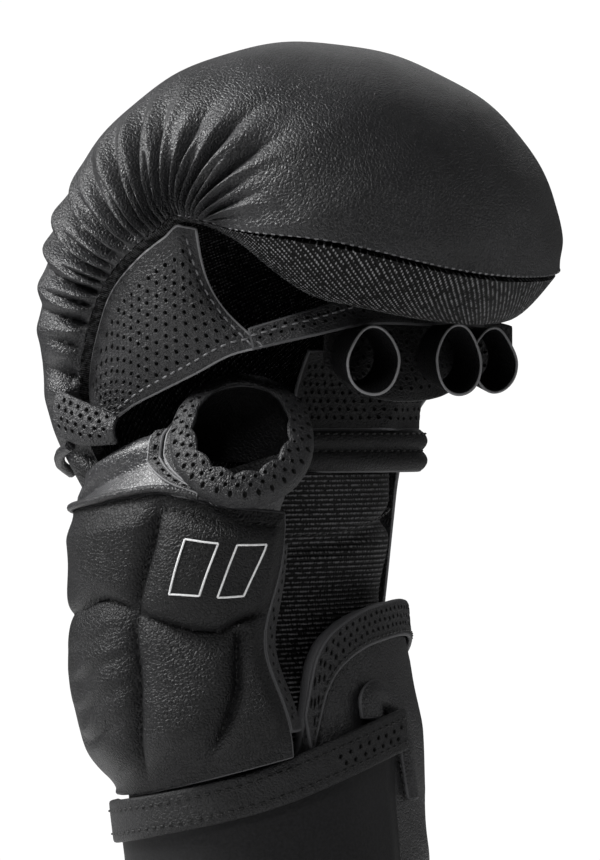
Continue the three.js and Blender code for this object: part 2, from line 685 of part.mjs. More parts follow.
// Sleeve point: turn round it, up from the thumb panel (0) to the opening (1).
function sleevePoint(turn, up) {
  const inside = (name) => column(SLEEVE_INSIDE, "turn", name, turn);
  const edge = thumbPoint(column(SLEEVE_PANEL, "turn", "panel", turn), 1);
  const onPanel = plus(edge, [0, 0, 1], GAP + 0.2);
  const blend = smooth((turn - 178) / 16) * smooth((362 - turn) / 12);
  const base = mix([inside("x"), inside("y"), inside("z")], onPanel, turn < 178 ? 0 : blend);
  const bulge = turn > 170 ? column(SLEEVE_PANEL, "turn", "bulge", turn) : 0;
  if (up > 0.85) return holePoint(turn, 0, THUMB_HOLE.collar * ((up - 1) / 0.15));
  const t = up / 0.85;
  const p = mix(base, holePoint(turn, 0, -THUMB_HOLE.collar), t);
  const away = unit(plus(p, [0, -30, 146], -1));
  const rise = Math.sin(t * Math.PI) ** 1.4;
  return plus(plus(p, away, bulge * rise), [0, 0, 1], bulge * 0.5 * rise);
}

function thumbSleeve() {
  const round = steps(0, 360, 24).slice(0, -1);
  const surface = patch(round, [0, 0.2, 0.45, 0.68, 0.85, 1], sleevePoint, true);
  return wall(surface, 0, LEATHER);
}

// Perforated binding round the opening, with a scalloped free edge inside it.
function thumbBinding() {
  const { thick, scallops, wave } = HOLE_BINDING;
  const round = steps(0, 360, scallops * 3).slice(0, -1);
  const section = [
    { grow: LEATHER + GAP + 0.8, out: -2.6 },
    { grow: LEATHER + GAP + 0.6, out: 0.1 },
    { grow: 1, out: 1.3 },
    { grow: -0.4, out: 2.1 },
    { grow: -1.6, out: 2.5 },
  ];
  const surface = patch(
    round,
    steps(0, section.length - 1, section.length - 1),
    (turn, k) => {
      const { grow, out } = section[k];
      const free = k === section.length - 1 ? wave * Math.cos(turn * scallops * RAD) : 0;
      return holePoint(turn, grow, out + free);
    },
    true,
  );
  return wall(surface, 0, thick);
}

// Sheet from the padded shell's side edge to a free edge given by a table; side is -1 or 1.
function gusset(rows, side, thick) {
  const keys = rows.map((_, i) => i);
  const value = (name, u) => through(keys, rows.map((r) => r[name]), u);
  const surface = patch(steps(0, rows.length - 1, 13), steps(0, 1, 6), (u, v) => {
    const start = padEdge(value("row", u), side, 0.5);
    const from = plus(start, belowEdge(value("row", u)), GUSSET_DROP);
    const to = [value("x", u), value("y", u), value("z", u)];
    const round = Math.sin(v * Math.PI);
    const p = plus(mix(from, to, v), [0.2, side, 0], value("bulge", u) * round);
    return plus(p, [-1, 0, -0.3], value("bow", u) * round);
  });
  if (side > 0) surface.faces = surface.faces.map(([a, b, c]) => [c, b, a]);
  return wall(surface, 0, thick);
}

function fingerBand() {
  const keys = FINGER_BAND.map((_, i) => i);
  const value = (name, u) => through(keys, FINGER_BAND.map((r) => r[name]), u);
  const surface = patch(steps(0, keys.length - 1, 16), steps(-1, 1, 2), (u, t) => [
    value("x", u) - 0.6 * t,
    value("y", u),
    value("z", u) + (value("tall", u) / 2) * t,
  ]);
  return wall(surface, 0, LEATHER);
}

// A loop shaped like a drop, narrow at the top where its two ends are sewn together.
// Its wall is measured towards the loop's middle line.
function fingerLoop({ x, y, z, wide, tall, deep, faces }) {
  const out = [Math.cos(faces * RAD), Math.sin(faces * RAD), 0];
  const across = [-out[1], out[0], 0];
  const round = steps(0, 360, 18).slice(0, -1);
  const place = (turn, t, inward) => {
    const up = Math.cos(turn * RAD);
    const belly = Math.sin(turn * RAD) * (0.3 + 0.7 * smooth((1 - up) / 1.3));
    const flare = 1 - 0.18 * t;
    const [side, rise] = [(wide / 2) * belly * flare, (tall / 2) * up * flare];
    const keep = 1 - inward / Math.hypot(side, rise);
    const middle = plus([x, y, z + 1.5 * t], out, deep / 2 - deep * t);
    return plus(plus(middle, across, side * keep), [0, 0, 1], rise * keep);
  };
  const along = steps(0, 1, 3);
  const outer = patch(round, along, (turn, t) => place(turn, t, 0), true);
  const inner = patch(round, along, (turn, t) => place(turn, t, LOOP_WALL), true);
  const count = outer.points.length;
  const rim = border(outer.faces).flatMap(([a, b]) => [
    [b, a, a + count],
    [b, a + count, b + count],
  ]);
  return {
    points: [...outer.points, ...inner.points],
    faces: [...outer.faces, ...inner.faces.map(([a, b, c]) => [c + count, b + count, a + count]), ...rim],
  };
}

function palmCurve(u) {
  const keys = PALM.map((_, i) => i);
  return [through(keys, PALM.map((r) => r.x), u), through(keys, PALM.map((r) => r.y), u)];
}

function palmPanel() {
  const { foot, top, thick, crease } = PALM_PANEL;
  const surface = patch(steps(0, PALM.length - 1, 15), steps(0, 1, 4), (u, t) => {
    const [x, y] = palmCurve(u);
    const fold = (u - 3.2 - 0.5 * (t - 0.5)) / 0.35;
    const lean = 5 * t * t;
    return [x + lean + crease * Math.exp(-fold * fold), y, foot + (top - foot) * t];
  });
  return wall(surface, 0, thick);
}

// Hem of two rolls, one above the other.
function palmHem() {
  const { foot, top, thick, roll } = PALM_HEM;
  const along = steps(0, PALM.length - 1, 10);
  const up = steps(0, 1, 8);
  const surface = patch(along, up, (u, t) => [...palmCurve(u), foot + (top - foot) * t]);
  const round = along.flatMap(() => up.map((t) => thick + roll * Math.abs(Math.sin(t * 2 * Math.PI))));
  return wall(surface, 0, round);
}

// Ribbed elastic from inside the cuff to the hem, widening above the cuff.
function palmElastic() {
  const surface = patch(steps(-48, 76, 14), steps(76, 141, 7), (b, z) =>
    handPoint(b, z, 3.2 * smooth((z - 109) / 18) - LEATHER - GAP),
  );
  return wall(surface, 0, LEATHER);
}

function webTab() {
  const keys = WEB_TAB.map((_, i) => i);
  const value = (name, u) => through(keys, WEB_TAB.map((r) => r[name]), u);
  const surface = patch(steps(0, keys.length - 1, 6), steps(0, 1, 3), (u, t) => [
    value("x", u),
    value("y", u) - 1.2 * Math.sin(t * Math.PI),
    value("foot", u) + (value("top", u) - value("foot", u)) * t,
  ]);
  return wall(surface, 0, WEB_TAB_THICK);
}

const PIECES = [
  ["knuckle_pad", knucklePad(), MATERIALS.leather],
  ["pad_lining", padLining(), MATERIALS.woven],
  ["index_gusset", gusset(INDEX_GUSSET, -1, LEATHER), MATERIALS.perforated],
  ["outer_gusset", gusset(OUTER_GUSSET, 1, LEATHER), MATERIALS.perforated],
  ["finger_band", fingerBand(), MATERIALS.leather],
  ["finger_loop_1", fingerLoop(FINGER_LOOPS[0]), MATERIALS.leather],
  ["finger_loop_2", fingerLoop(FINGER_LOOPS[1]), MATERIALS.leather],
  ["finger_loop_3", fingerLoop(FINGER_LOOPS[2]), MATERIALS.leather],
  ["palm_panel", palmPanel(), MATERIALS.perforated],
  ["palm_hem", palmHem(), MATERIALS.leather],
  ["palm_elastic", palmElastic(), MATERIALS.elastic],
  ["thumb_panel", thumbPanel(), MATERIALS.leather],
  ["thumb_edge_strip", thumbEdgeStrip(), MATERIALS.perforated],
  ["thumb_piping", thumbPiping(), MATERIALS.leather],
  ["thumb_sleeve", thumbSleeve(), MATERIALS.leather],
  ["thumb_binding", thumbBinding(), MATERIALS.perforated],
  ["web_tab", webTab(), MATERIALS.perforated],
  ["web_cord", cordAlong(WEB_CORD, WEB_CORD_RADIUS), MATERIALS.leather],
  ["cuff", cuff(), MATERIALS.leather],
  ["cuff_binding", cuffBinding(), MATERIALS.perforated],
  ["cuff_channel", cuffChannel(), MATERIALS.leather],
  ["wrist_strap", wristStrap(), MATERIALS.strap],
  ["strap_binding", strapBinding(), MATERIALS.strap],
];

const glove = new THREE.Group();
glove.name = "sparring_glove";
for (const [name, body, material] of PIECES) glove.add(meshOf(name, body, material));
glove.position.set(...FRAME_SHIFT);

const part = new THREE.Group();
part.add(glove);
export default part;
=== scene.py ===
"""Looks of a left-hand sparring glove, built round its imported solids.

Shapes are worked out in millimetres about the wrist's axis, as the solids are, and moved into the
frame when a mesh is made. +Z runs up the wrist, +X out of the palm and -Y out of the thumb side.
"""

import math

import bpy
import numpy as np
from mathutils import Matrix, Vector


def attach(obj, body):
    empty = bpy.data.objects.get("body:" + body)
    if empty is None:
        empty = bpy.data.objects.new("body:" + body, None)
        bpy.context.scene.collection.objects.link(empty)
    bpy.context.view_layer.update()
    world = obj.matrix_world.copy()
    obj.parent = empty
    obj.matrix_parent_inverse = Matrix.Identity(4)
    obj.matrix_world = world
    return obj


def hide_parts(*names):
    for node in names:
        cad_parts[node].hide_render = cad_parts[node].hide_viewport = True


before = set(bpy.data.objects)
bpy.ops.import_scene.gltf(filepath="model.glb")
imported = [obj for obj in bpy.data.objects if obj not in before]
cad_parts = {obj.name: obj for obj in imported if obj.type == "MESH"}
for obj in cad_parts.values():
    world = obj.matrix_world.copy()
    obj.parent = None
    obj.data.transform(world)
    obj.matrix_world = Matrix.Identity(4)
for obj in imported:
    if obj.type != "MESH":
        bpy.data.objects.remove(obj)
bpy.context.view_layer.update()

MM = 0.001
FRAME_SHIFT = np.array([-9.84, 0.15, 0.0])  # from the wrist's axis to the frame's origin
GAP = 0.4  # between pieces that lie on each other
SHEET = 1.1  # thickness of a single layer of leather
LINING = 1.5  # thickness of the cloth under the padding
SHARP = math.radians(55)  # edges that turn by more are shaded sharp
SEED = 7


def table(names, *rows):
    """A short table: a dict of columns by name."""
    return dict(zip(names.split(), np.array(rows, float).T))


# Sections of the padding from the wrist to the front. x, z: its crest; lean: degrees that it leans
# forward; thick: at the crest; width: half of it; drop: height of the arch; rim: how far the lining
# keeps in from the leather's edge; swell: how far that edge is puffed.
PAD = table(
    "x z lean thick width drop rim swell",
    (-31.5, 83.1, -96, 5.5, 34, 13, 4, 0.8),
    (-33.5, 105, -96, 5.5, 36, 14, 4, 0.8),
    (-37, 127, -99, 6.5, 35, 14, 4, 0.8),
    (-46, 152, -98, 11, 43.5, 15, 4.5, 1),
    (-49, 180, -86, 15, 52, 25, 5, 1.2),
    (-45, 204, -67, 21, 54.5, 31, 5, 1.4),
    (-31, 225, -46, 26, 56, 34, 5, 1.4),
    (-12, 238.5, -25, 29, 56, 34.5, 5.5, 1.4),
    (10, 243.5, -2, 30, 56, 33, 7, 1.4),
    (32, 239.5, 24.5, 31, 55, 33.2, 11, 1.4),
    (51.5, 228.5, 50.5, 30, 54, 34.7, 14, 1.6),
    (64, 212, 74.4, 27, 53, 36.5, 15, 2),
    (68.5, 197, 92, 23, 52, 37.8, 15, 2.4),
    (68, 186.5, 104, 20, 51, 37.8, 15, 3),
)
PAD_LAST = len(PAD["x"]) - 1
PAD_WRAP = 108  # degrees from the crest to an edge
SEAM_RISE = 0.45  # rows by which the front seam rises on the thumb's side
SEAM_ROWS = 1.8  # rows over which it does so
FRONT_SWELL = 13.5  # how far the front's edge is puffed
FRONT_TAPER = 0.48  # share of the width over which that eases off to the sides
WRIST_SWELL = 1
WAVE_DEEP = 0.35  # of the leather's soft waves

# Gathers along the side seams. at: row of PAD; wide: half width in rows; deep: depth at the seam;
# reach: share of the wrap that the fold runs up the side; slant: rows that it leans by as it rises.
GATHERS = table(
    "at wide deep reach slant",
    (2.25, 0.13, 1.3, 0.24, 0.1),
    (2.6, 0.12, 1.9, 0.32, 0.15),
    (3.0, 0.1, 1.4, 0.3, 0.15),
    (3.35, 0.11, 2.4, 0.42, 0.2),
    (3.64, 0.08, 1.6, 0.36, 0.2),
    (3.9, 0.09, 2.6, 0.5, 0.22),
    (4.16, 0.07, 1.7, 0.42, 0.2),
    (4.4, 0.09, 2.8, 0.55, 0.22),
    (4.63, 0.07, 1.6, 0.4, 0.2),
    (4.85, 0.08, 2.7, 0.6, 0.2),
    (5.1, 0.07, 1.7, 0.42, 0.16),
    (5.35, 0.09, 2.5, 0.58, 0.14),
    (5.7, 0.08, 1.6, 0.34, 0.1),
    (6.05, 0.1, 2.2, 0.46, 0.06),
    (6.33, 0.07, 1.5, 0.34, 0.0),
    (6.6, 0.1, 2.8, 0.5, 0.0),
    (6.9, 0.08, 1.6, 0.36, -0.04),
    (7.2, 0.1, 3.0, 0.52, -0.08),
    (7.5, 0.08, 1.7, 0.36, -0.1),
    (7.8, 0.1, 2.7, 0.48, -0.16),
    (8.1, 0.08, 1.5, 0.3, -0.2),
    (8.4, 0.1, 2.4, 0.44, -0.2),
    (8.8, 0.08, 1.3, 0.3, -0.15),
    (9.15, 0.11, 2.7, 0.5, -0.1),
    (9.5, 0.09, 1.3, 0.3, -0.1),
    (9.85, 0.13, 2.4, 0.46, -0.1),
    (10.3, 0.12, 1.2, 0.3, -0.1),
    (10.8, 0.16, 1.2, 0.3, -0.1),
    (11.5, 0.16, 0.5, 0.2, 0.0),
)
GATHER_DEPTH = 1.5  # factor on all their depths
GATHER_SHARP = 1.15  # exponent of a valley: sharp at 1, round at 2
GATHER_RIDGE = {"high": 0.4, "aside": 2.1}  # beside a valley, in shares of its depth and half width
GATHER_MIDDLE = 8  # row that they lean away from
GATHER_SEWN = {"from": 0.93, "flat": 0.8}  # near the seam they are drawn flat by this share

# The hollow for the wrist and hand: an ellipse at each height.
HAND = table(
    "z x deep wide",
    (0, 0, 27.5, 34.5),
    (45, 0, 27.5, 34.5),
    (65, -2, 27.5, 35.5),
    (84, -3, 24.5, 37),
    (105, -6, 22.5, 39),
    (130, -7.5, 21.5, 41),
    (165, -7.5, 22, 41),
)

# Bearings are degrees round the wrist, from the palm (0) to the far side (90) and the back (180).
CUFF = table(
    "bearing top pad",
    (-180, 81.6, 3),
    (-150, 82, 3),
    (-122, 82.6, 3),
    (-90, 76, 3),
    (-60, 70, 3),
    (-32, 75, 3),
    (-25, 85, 3.6),
    (-18, 95, 4.6),
    (-8, 101.5, 5.5),
    (10, 106, 6),
    (42, 107, 6),
    (75, 99, 4),
    (100, 86.5, 3),
    (122, 82.8, 3),
    (150, 82, 3),
    (180, 81.6, 3),
)
CUFF_WALL = 3
CUFF_PAD = {"foot": 60, "rise": 26}  # its padding thickens from this height on, over this rise
# The cuff swells beside the strap's end. high: how much; wide, fade: how it eases off.
CUFF_PUFF = {"high": 3.6, "bearing": 48, "wide": 26, "top": 104, "fade": 46}
CUFF_BINDING = {"first": -27, "last": 92, "deep": 6.6, "thick": 1.2, "over": 1.6}

STRAP = table(
    "bearing top foot",
    (-298, 76, 16),
    (-250, 70, 9),
    (-200, 63, 4),
    (-135, 62, 3),
    (-60, 69, 3),
    (0, 80, 8),
    (26, 83.5, 14),
)
STRAP_THICK = 2.6
STRAP_WAVE = 0.35  # how much its thickness wanders
STRAP_TAPER = 9  # degrees over which it thins towards its end
STRAP_ENDS = (-298, 11.5)
STRAP_BINDING = {"first": -150, "deep": 8.4, "thick": 1.4, "holes": -20}  # holes: from this bearing on

# The padded loop for the strap, along its middle line.
CHANNEL = table(
    "bearing z wide",
    (-0.4, 81.8, 5.6),
    (0.2, 85.4, 5.8),
    (5, 86.9, 6.2),
    (11, 85, 5.4),
    (16.4, 79.4, 4.2),
    (19, 72, 3.8),
    (21.5, 63, 2.6),
)
CHANNEL_THICK = 2.8
CHANNEL_EDGE = 0.8
CHANNEL_DEGREE = 0.6  # millimetres round the cuff for a degree of bearing

# Radii of the thumb panel about a centre x: a row for each level z, a column for each bearing.
THUMB_BEARINGS = np.array([-157, -140, -115, -90, -65, -44], float)
THUMB_LEVELS = table("z x", (66, -2), (80, -3), (100, -6), (120, -6), (137, -6))
THUMB_RADII = np.array(
    [
        (32.2, 34.2, 37.6, 39.4, 38.4, 36.5),
        (32, 39.4, 43.8, 44.4, 43.2, 40.5),
        (31.5, 38.8, 45.6, 47, 45.5, 41.5),
        (33.2, 38.6, 45.6, 48.5, 48, 42),
        (37.8, 41, 45.8, 49.5, 49.6, 43.2),
    ]
)
THUMB_FOOT = table("t z", (0, 64), (0.5, 66.5), (1, 76))
THUMB_TOP = table(
    "t z", (0, 129.5), (0.3, 131.5), (0.5, 133.5), (0.62, 135.5), (0.72, 136.5), (0.85, 133.5), (1, 132)
)
THUMB_STRIP = {"wide": 5, "first": 0.1, "last": 0.86}  # along its palm edge
PIPING_ENDS = (0.06, 0.8)
CORD_RADIUS = 0.9  # piping along its upper edge

QUILT = {"full": 5.8, "seam": 1.5, "edge": 2.0}
# Lines of the quilting on the thumb panel, as t and up: two seams that climb, and the fold across.
BACK_SEAM = table(
    "up t", (0, 0.55), (0.165, 0.585), (0.28, 0.61), (0.39, 0.628), (0.54, 0.63), (0.62, 0.64),
    (0.72, 0.662), (0.83, 0.69), (0.943, 0.71), (1, 0.72),
)
FRONT_SEAM = table(
    "up t", (0, 0.74), (0.1, 0.787), (0.2, 0.833), (0.31, 0.873), (0.43, 0.895), (0.56, 0.905)
)
FOLD = table(
    "t up", (0, 0.62), (0.43, 0.645), (0.54, 0.667), (0.625, 0.618), (0.68, 0.573), (0.775, 0.53),
    (0.84, 0.532), (0.895, 0.565), (0.93, 0.58), (1, 0.6),
)
FOLD_WIDE = (0.07, 0.03)  # how far the padding is drawn in below the fold and above it
SEAM_WIDE = 0.026  # how far from a seam the padding is drawn in, as a share of the panel's width
HEM_SEAM = 0.95  # height of the seam under the thumb's hole
LOWER_SLOPE = 0.17  # height over which the padding swells out of the panel's foot
# Short wrinkles beside the back seam. up: height; deep: depth in millimetres.
WRINKLES = table("up deep", (0.08, 0.9), (0.235, 1.1), (0.33, 0.8), (0.43, 1.0), (0.53, 0.6))

# Two slanted bars printed in outline on the thumb panel, as the corners' t and up.
BARS = (
    ((0.772, 0.862), (0.836, 0.868), (0.798, 0.668), (0.734, 0.662)),
    ((0.872, 0.868), (0.936, 0.874), (0.898, 0.674), (0.834, 0.668)),
)
BAR_LINE = 0.26  # radius of the printed line

# Foot of the thumb's sleeve by the turn round its hole: inside the hand, and then along the panel.
SLEEVE_INSIDE = table(
    "turn x y z",
    (0, 22.6, -29.5, 132),
    (45, 15, -22.5, 142.4),
    (90, -2, -24, 144),
    (135, -14, -33, 144),
    (180, -23.5, -43, 139),
)
SLEEVE_PANEL = table(
    "turn panel bulge",
    (180, 0.3, 4),
    (225, 0.48, 4),
    (270, 0.68, 1.5),
    (315, 0.86, 0.6),
    (360, 1, 0.2),
)
HOLE_AT = np.array([18, -36, 149.5])
HOLE_FACING = np.array([0.47, -0.6, 0.64])
HOLE_WIDE = 13
HOLE_TALL = 15.4
HOLE_COLLAR = 3
SLEEVE_WALL = 1.4
SLEEVE_BULGE_FROM = np.array([0, -30, 146.0])
SLEEVE_STRIPS = ((0.65, 0.71), (0.74, 0.84))  # between which heights of the sleeve they lie
SLEEVE_STRIP_ENDS = (140, 262)  # turns round the hole
COLLAR_FROM = 0.85  # height on the sleeve where its collar begins

# The binding's section, from its outer foot over the rim and into the hole.
BINDING = table(
    "k grow out",
    (0, SLEEVE_WALL + GAP + 0.8, -2.6),
    (1, SLEEVE_WALL + GAP + 0.6, 0.1),
    (2, 1, 1.3),
    (3, -0.4, 2.1),
    (4, -1.6, 2.5),
)
SCALLOPS = 13

# Side panels from the padding's edge, at a row of PAD, to x, y, z. bulge: outwards; bow: backwards.
INDEX_GUSSET = table(
    "row x y z bulge bow",
    (3.1, -17, -43.5, 152.5, 0.5, 0),
    (3.7, -9.5, -43, 157, 1, 0),
    (4.5, -1, -42.5, 160.5, 2, 0),
    (5.4, 9.5, -42.5, 164.5, 2, 0),
    (6.8, 18.5, -41.5, 168.5, 1, 1),
    (9.5, 25.6, -38.2, 170.6, 0, 4.5),
)
OUTER_GUSSET = table(
    "row x y z bulge bow",
    (0.15, -1, 41.6, 97, 0.5, 0),
    (1.2, 0, 43, 112, 1, 0),
    (2.2, 0, 45.8, 128, 1.5, 0),
    (3.2, 2.5, 46.6, 144, 2, 0),
    (4.6, 9, 46, 157, 2, 0),
    (6.4, 20, 45, 166, 2, 0),
    (8.9, 30, 43, 176, 0, 4),
)
GUSSET_DROP = 1.7
GUSSET_START = 0.22  # where they begin, as a share of the way across the padding's edge

FINGER_BAND = table(
    "x y z tall",
    (22.9, -38.4, 172.1, 4.2),
    (33, -29, 175.8, 5.2),
    (37, -14, 179.2, 6.4),
    (38, 8, 180, 7.6),
    (37, 28, 179.8, 7.6),
    (31.5, 41.5, 176.5, 8),
)
LOOP_THICK = 0.65
# Middles and sizes of the loops between the fingers. faces: the bearing that a loop opens to.
FINGER_LOOPS = table(
    "x y z wide tall deep faces",
    (37.2, -14.6, 167.3, 14, 16.4, 13, -32),
    (45.6, 7, 167.6, 12.6, 17, 13, -30),
    (41.8, 26.5, 167.8, 12.2, 16, 13, -30),
)

# The sheet that hangs from the finger strip behind the loops, dark with painted shade.
APRON = table(
    "x y foot top",
    (27.3, -16, 166, 176),
    (31.2, -8.6, 160.5, 177.5),
    (34.8, -1, 158.5, 178),
    (36.6, 8, 158.5, 178),
    (37, 16, 159.5, 178),
    (33.8, 26, 161, 178),
    (36.3, 34.5, 163, 177.5),
    (39.8, 41, 165.5, 176),
)

PALM = table("x y", (13, -11), (15.5, -4), (17.5, 6), (18.5, 18), (17.5, 31), (11, 40))
PALM_PANEL = {"foot": 151.6, "top": 170, "crease": 1.6}
PALM_HEM = {"foot": 141.4, "top": 151, "thick": 1.6, "roll": 1.5}

ELASTIC = {"first": -48, "last": 76, "foot": 76, "top": 141, "rib": 1.15, "high": 0.22}
ELASTIC_FOLD = {"z": 124, "rise": 5.5, "deep": 2.2, "wide": 2.6}  # where it slackens

WEB_TAB = table(
    "x y foot top",
    (-29, -45.6, 150.3, 160),
    (-20.5, -47, 148.3, 157.3),
    (-11, -46.2, 148.6, 153.8),
)
WEB_TAB_BOW = 1.2
WEB_CORD = np.array(
    [(-25, -46.8, 147.5), (-31.3, -43, 145.6), (-36.2, -37.4, 143.2), (-39.8, -29.4, 141)]
)
WEB_CORD_RADIUS = 1.3

PITCH = 3.1  # between the holes of a row of perforated leather
ROW_PITCH = 2.2  # between the rows of holes
HOLE = 0.5  # radius of a hole
# Radius and depth of each ring of a hole, from its raised lip to its floor.
PIT_RINGS = [(HOLE * 1.35, -0.07), (HOLE, 0.05), (HOLE * 0.9, 0.75)]
PIT_AROUND = [(-1, -1), (0, -1), (1, -1), (1, 0), (1, 1), (0, 1), (-1, 1), (-1, 0)]
PIT_NUDGE = 0.14  # how far a hole may lie off its place

# Pitch, length and radius of stitches.
PAD_STITCH = (2.0, 1.0, 0.28)
SIDE_STITCH = (2.4, 1.6, 0.24)

# Rings of a stitch: how far along it they lie, and how thick it is there.
STITCH_RINGS = np.array([-1, -0.75, 0, 0.75, 1])
STITCH_THICK = np.array([0.35, 0.85, 1.0, 0.85, 0.35])
STITCH_SIDES = 6
STITCH_SUNK = 0.05


def stack(*parts):
    return np.stack(np.broadcast_arrays(*parts), -1).astype(float)


def unit(v):
    return v / np.maximum(np.linalg.norm(v, axis=-1, keepdims=True), 1e-9)


def smooth(t):
    t = np.clip(t, 0, 1)
    return t * t * (3 - 2 * t)


def mix(a, b, t):
    return a + (b - a) * np.asarray(t)[..., None]


def through(keys, values, at):
    """Smooth curve through values given at rising keys. values may hold an array for each key."""
    keys, values = np.asarray(keys, float), np.asarray(values, float)
    at = np.clip(at, keys[0], keys[-1])
    i = np.clip(np.searchsorted(keys, at, side="left") - 1, 0, len(keys) - 2)

    def value(k):
        return values[k] if values.ndim == 1 else np.take_along_axis(values, k[None], 0)[0]

    def slope(k):
        low, high = np.maximum(k - 1, 0), np.minimum(k + 1, len(keys) - 1)
        return (value(high) - value(low)) / (keys[high] - keys[low])

    span = keys[i + 1] - keys[i]
    f = (at - keys[i]) / span
    f2, f3 = f**2, f**3
    return (
        (2 * f3 - 3 * f2 + 1) * value(i)
        + (f3 - 2 * f2 + f) * span * slope(i)
        + (3 * f2 - 2 * f3) * value(i + 1)
        + (f3 - f2) * span * slope(i + 1)
    )


def by_key(rows, name, at):
    """A table's column at a value of its first column."""
    return through(rows[next(iter(rows))], rows[name], at)


def along(rows, name, at):
    """A table's column at a row number, which may lie between two rows."""
    return through(np.arange(len(rows[name])), rows[name], at)


def row_span(rows):
    """From a table's first row number to its last."""
    return 0, len(rows[next(iter(rows))]) - 1


class Surface:
    """A surface given by at(a, b). Its outside is where a cross b points, or the other if flipped."""

    def __init__(self, at, a, b, flip=False):
        self.at, self.a, self.b, self.flip = at, a, b, flip

    def normal(self, a, b):
        step_a = (self.a[1] - self.a[0]) * 2e-3
        step_b = (self.b[1] - self.b[0]) * 2e-3
        run_a = self.at(a + step_a, b) - self.at(a - step_a, b)
        run_b = self.at(a, b + step_b) - self.at(a, b - step_b)
        return unit(np.cross(run_a, run_b)) * (-1 if self.flip else 1)

    def lifted(self, a, b, lift):
        a, b = np.broadcast_arrays(np.asarray(a, float), np.asarray(b, float))
        return self.at(a, b) + self.normal(a, b) * np.asarray(lift)[..., None]

    def lengths(self):
        """Its size along a and along b, in millimetres, at the middle of the other."""
        a = np.linspace(*self.a, 60)
        b = np.linspace(*self.b, 60)
        line_a = self.at(a, np.full(60, np.mean(self.b)))
        line_b = self.at(np.full(60, np.mean(self.a)), b)
        return tuple(np.linalg.norm(np.diff(p, axis=0), axis=1).sum() for p in (line_a, line_b))


MAIN, CUT_EDGE, PIT = 0, 1, 2  # kinds of face, which are the places of their materials
LINED = 2  # the inner side of a piece without pits


class Net:
    """Points of a sheet by their places a and b on it, and faces between them.

    sink is how deep a point lies below the sheet's face, and kinds gives each face's material.
    """

    def __init__(self, a, b, faces, sink=None, kinds=None):
        self.a, self.b, self.faces = a, b, faces
        self.sink = np.zeros(len(a)) if sink is None else sink
        self.kinds = [MAIN] * len(faces) if kinds is None else kinds


def grid(a_values, b_values, ring=False):
    """An even net over the values of a and b, joined round from the last a to the first if ring."""
    rows, wide = len(a_values), len(b_values)
    a, b = (m.ravel() for m in np.meshgrid(a_values, b_values, indexing="ij"))
    i = np.arange(rows if ring else rows - 1)[:, None]
    j = np.arange(wide - 1)[None, :]
    near = i * wide + j
    far = (i + 1) % rows * wide + j
    faces = np.stack([near, far, far + 1, near + 1], -1).reshape(-1, 4).tolist()
    return Net(a, b, faces)


def spread(ends, count):
    return np.linspace(ends[0], ends[1], count + 1)


def runs(*parts):
    """Values spread evenly over each part, given as (first, last, count)."""
    return np.unique(np.concatenate([spread(ends, count) for *ends, count in parts]))


def perforated(surface, edge, keep=None, ring=False, pitch=PITCH, row_pitch=ROW_PITCH):
    """A net with small pits in staggered rows, none of them nearer than edge to its border.

    keep(a, b) says which holes are made.
    """
    size_a, size_b = surface.lengths()
    cells = max(2, round(size_a / pitch))
    rows = max(2, round(size_b / row_pitch))
    n_a, n_b = cells * 4, rows * 3  # a hole takes up four steps of its row, and a row three
    step_a = (surface.a[1] - surface.a[0]) / n_a
    step_b = (surface.b[1] - surface.b[0]) / n_b
    a_values = surface.a[0] + step_a * np.arange(n_a if ring else n_a + 1)
    net = grid(a_values, surface.b[0] + step_b * np.arange(n_b + 1), ring)
    wide = n_b + 1
    length_a, length_b = size_a / n_a, size_b / n_b
    draw = np.random.default_rng(SEED)
    removed, added, kinds = set(), [], []
    a, b, sink = list(net.a), list(net.b), [0.0] * len(net.a)
    count_a = len(a_values)
    for row in range(rows):
        j = row * 3 + 1
        for cell in range(cells):
            i = cell * 4 + 1 + 2 * (row % 2)
            at_a, at_b = surface.a[0] + i * step_a, surface.b[0] + j * step_b
            nudge = draw.uniform(-PIT_NUDGE, PIT_NUDGE, 2)
            near_a = min(i, n_a - i) * length_a
            near_b = min(j, n_b - j) * length_b
            outside = near_b < edge or (near_a < edge and not ring)
            if outside or (keep is not None and not keep(at_a, at_b)):
                continue
            at_a += nudge[0] * step_a / length_a
            at_b += nudge[1] * step_b / length_b
            for di in (-1, 0):
                for dj in (-1, 0):
                    removed.add(((i + di) % count_a) * (wide - 1) + j + dj)
            last = [((i + di) % count_a) * wide + j + dj for di, dj in PIT_AROUND]
            for k, (radius, deep) in enumerate(PIT_RINGS):
                new = []
                for di, dj in PIT_AROUND:
                    turn = math.atan2(dj, di)
                    a.append(at_a + radius * math.cos(turn) * step_a / length_a)
                    b.append(at_b + radius * math.sin(turn) * step_b / length_b)
                    sink.append(deep)
                    new.append(len(a) - 1)
                for m in range(len(new)):
                    added.append([last[m - 1], last[m], new[m], new[m - 1]])
                    kinds.append(PIT if k == len(PIT_RINGS) - 1 else MAIN)
                last = new
            added.append(last)
            kinds.append(PIT)
    faces = [f for k, f in enumerate(net.faces) if k not in removed]
    kinds = [MAIN] * len(faces) + kinds
    return Net(np.array(a), np.array(b), faces + added, np.array(sink), kinds)


def border(faces):
    """The edges that only one face has, each in the order of its face."""
    seen = {}
    for face in faces:
        for k, a in enumerate(face):
            b = face[(k + 1) % len(face)]
            key = (a, b) if a < b else (b, a)
            seen[key] = None if key in seen else (a, b)
    return [e for e in seen.values() if e]


RIM_STEPS = 4


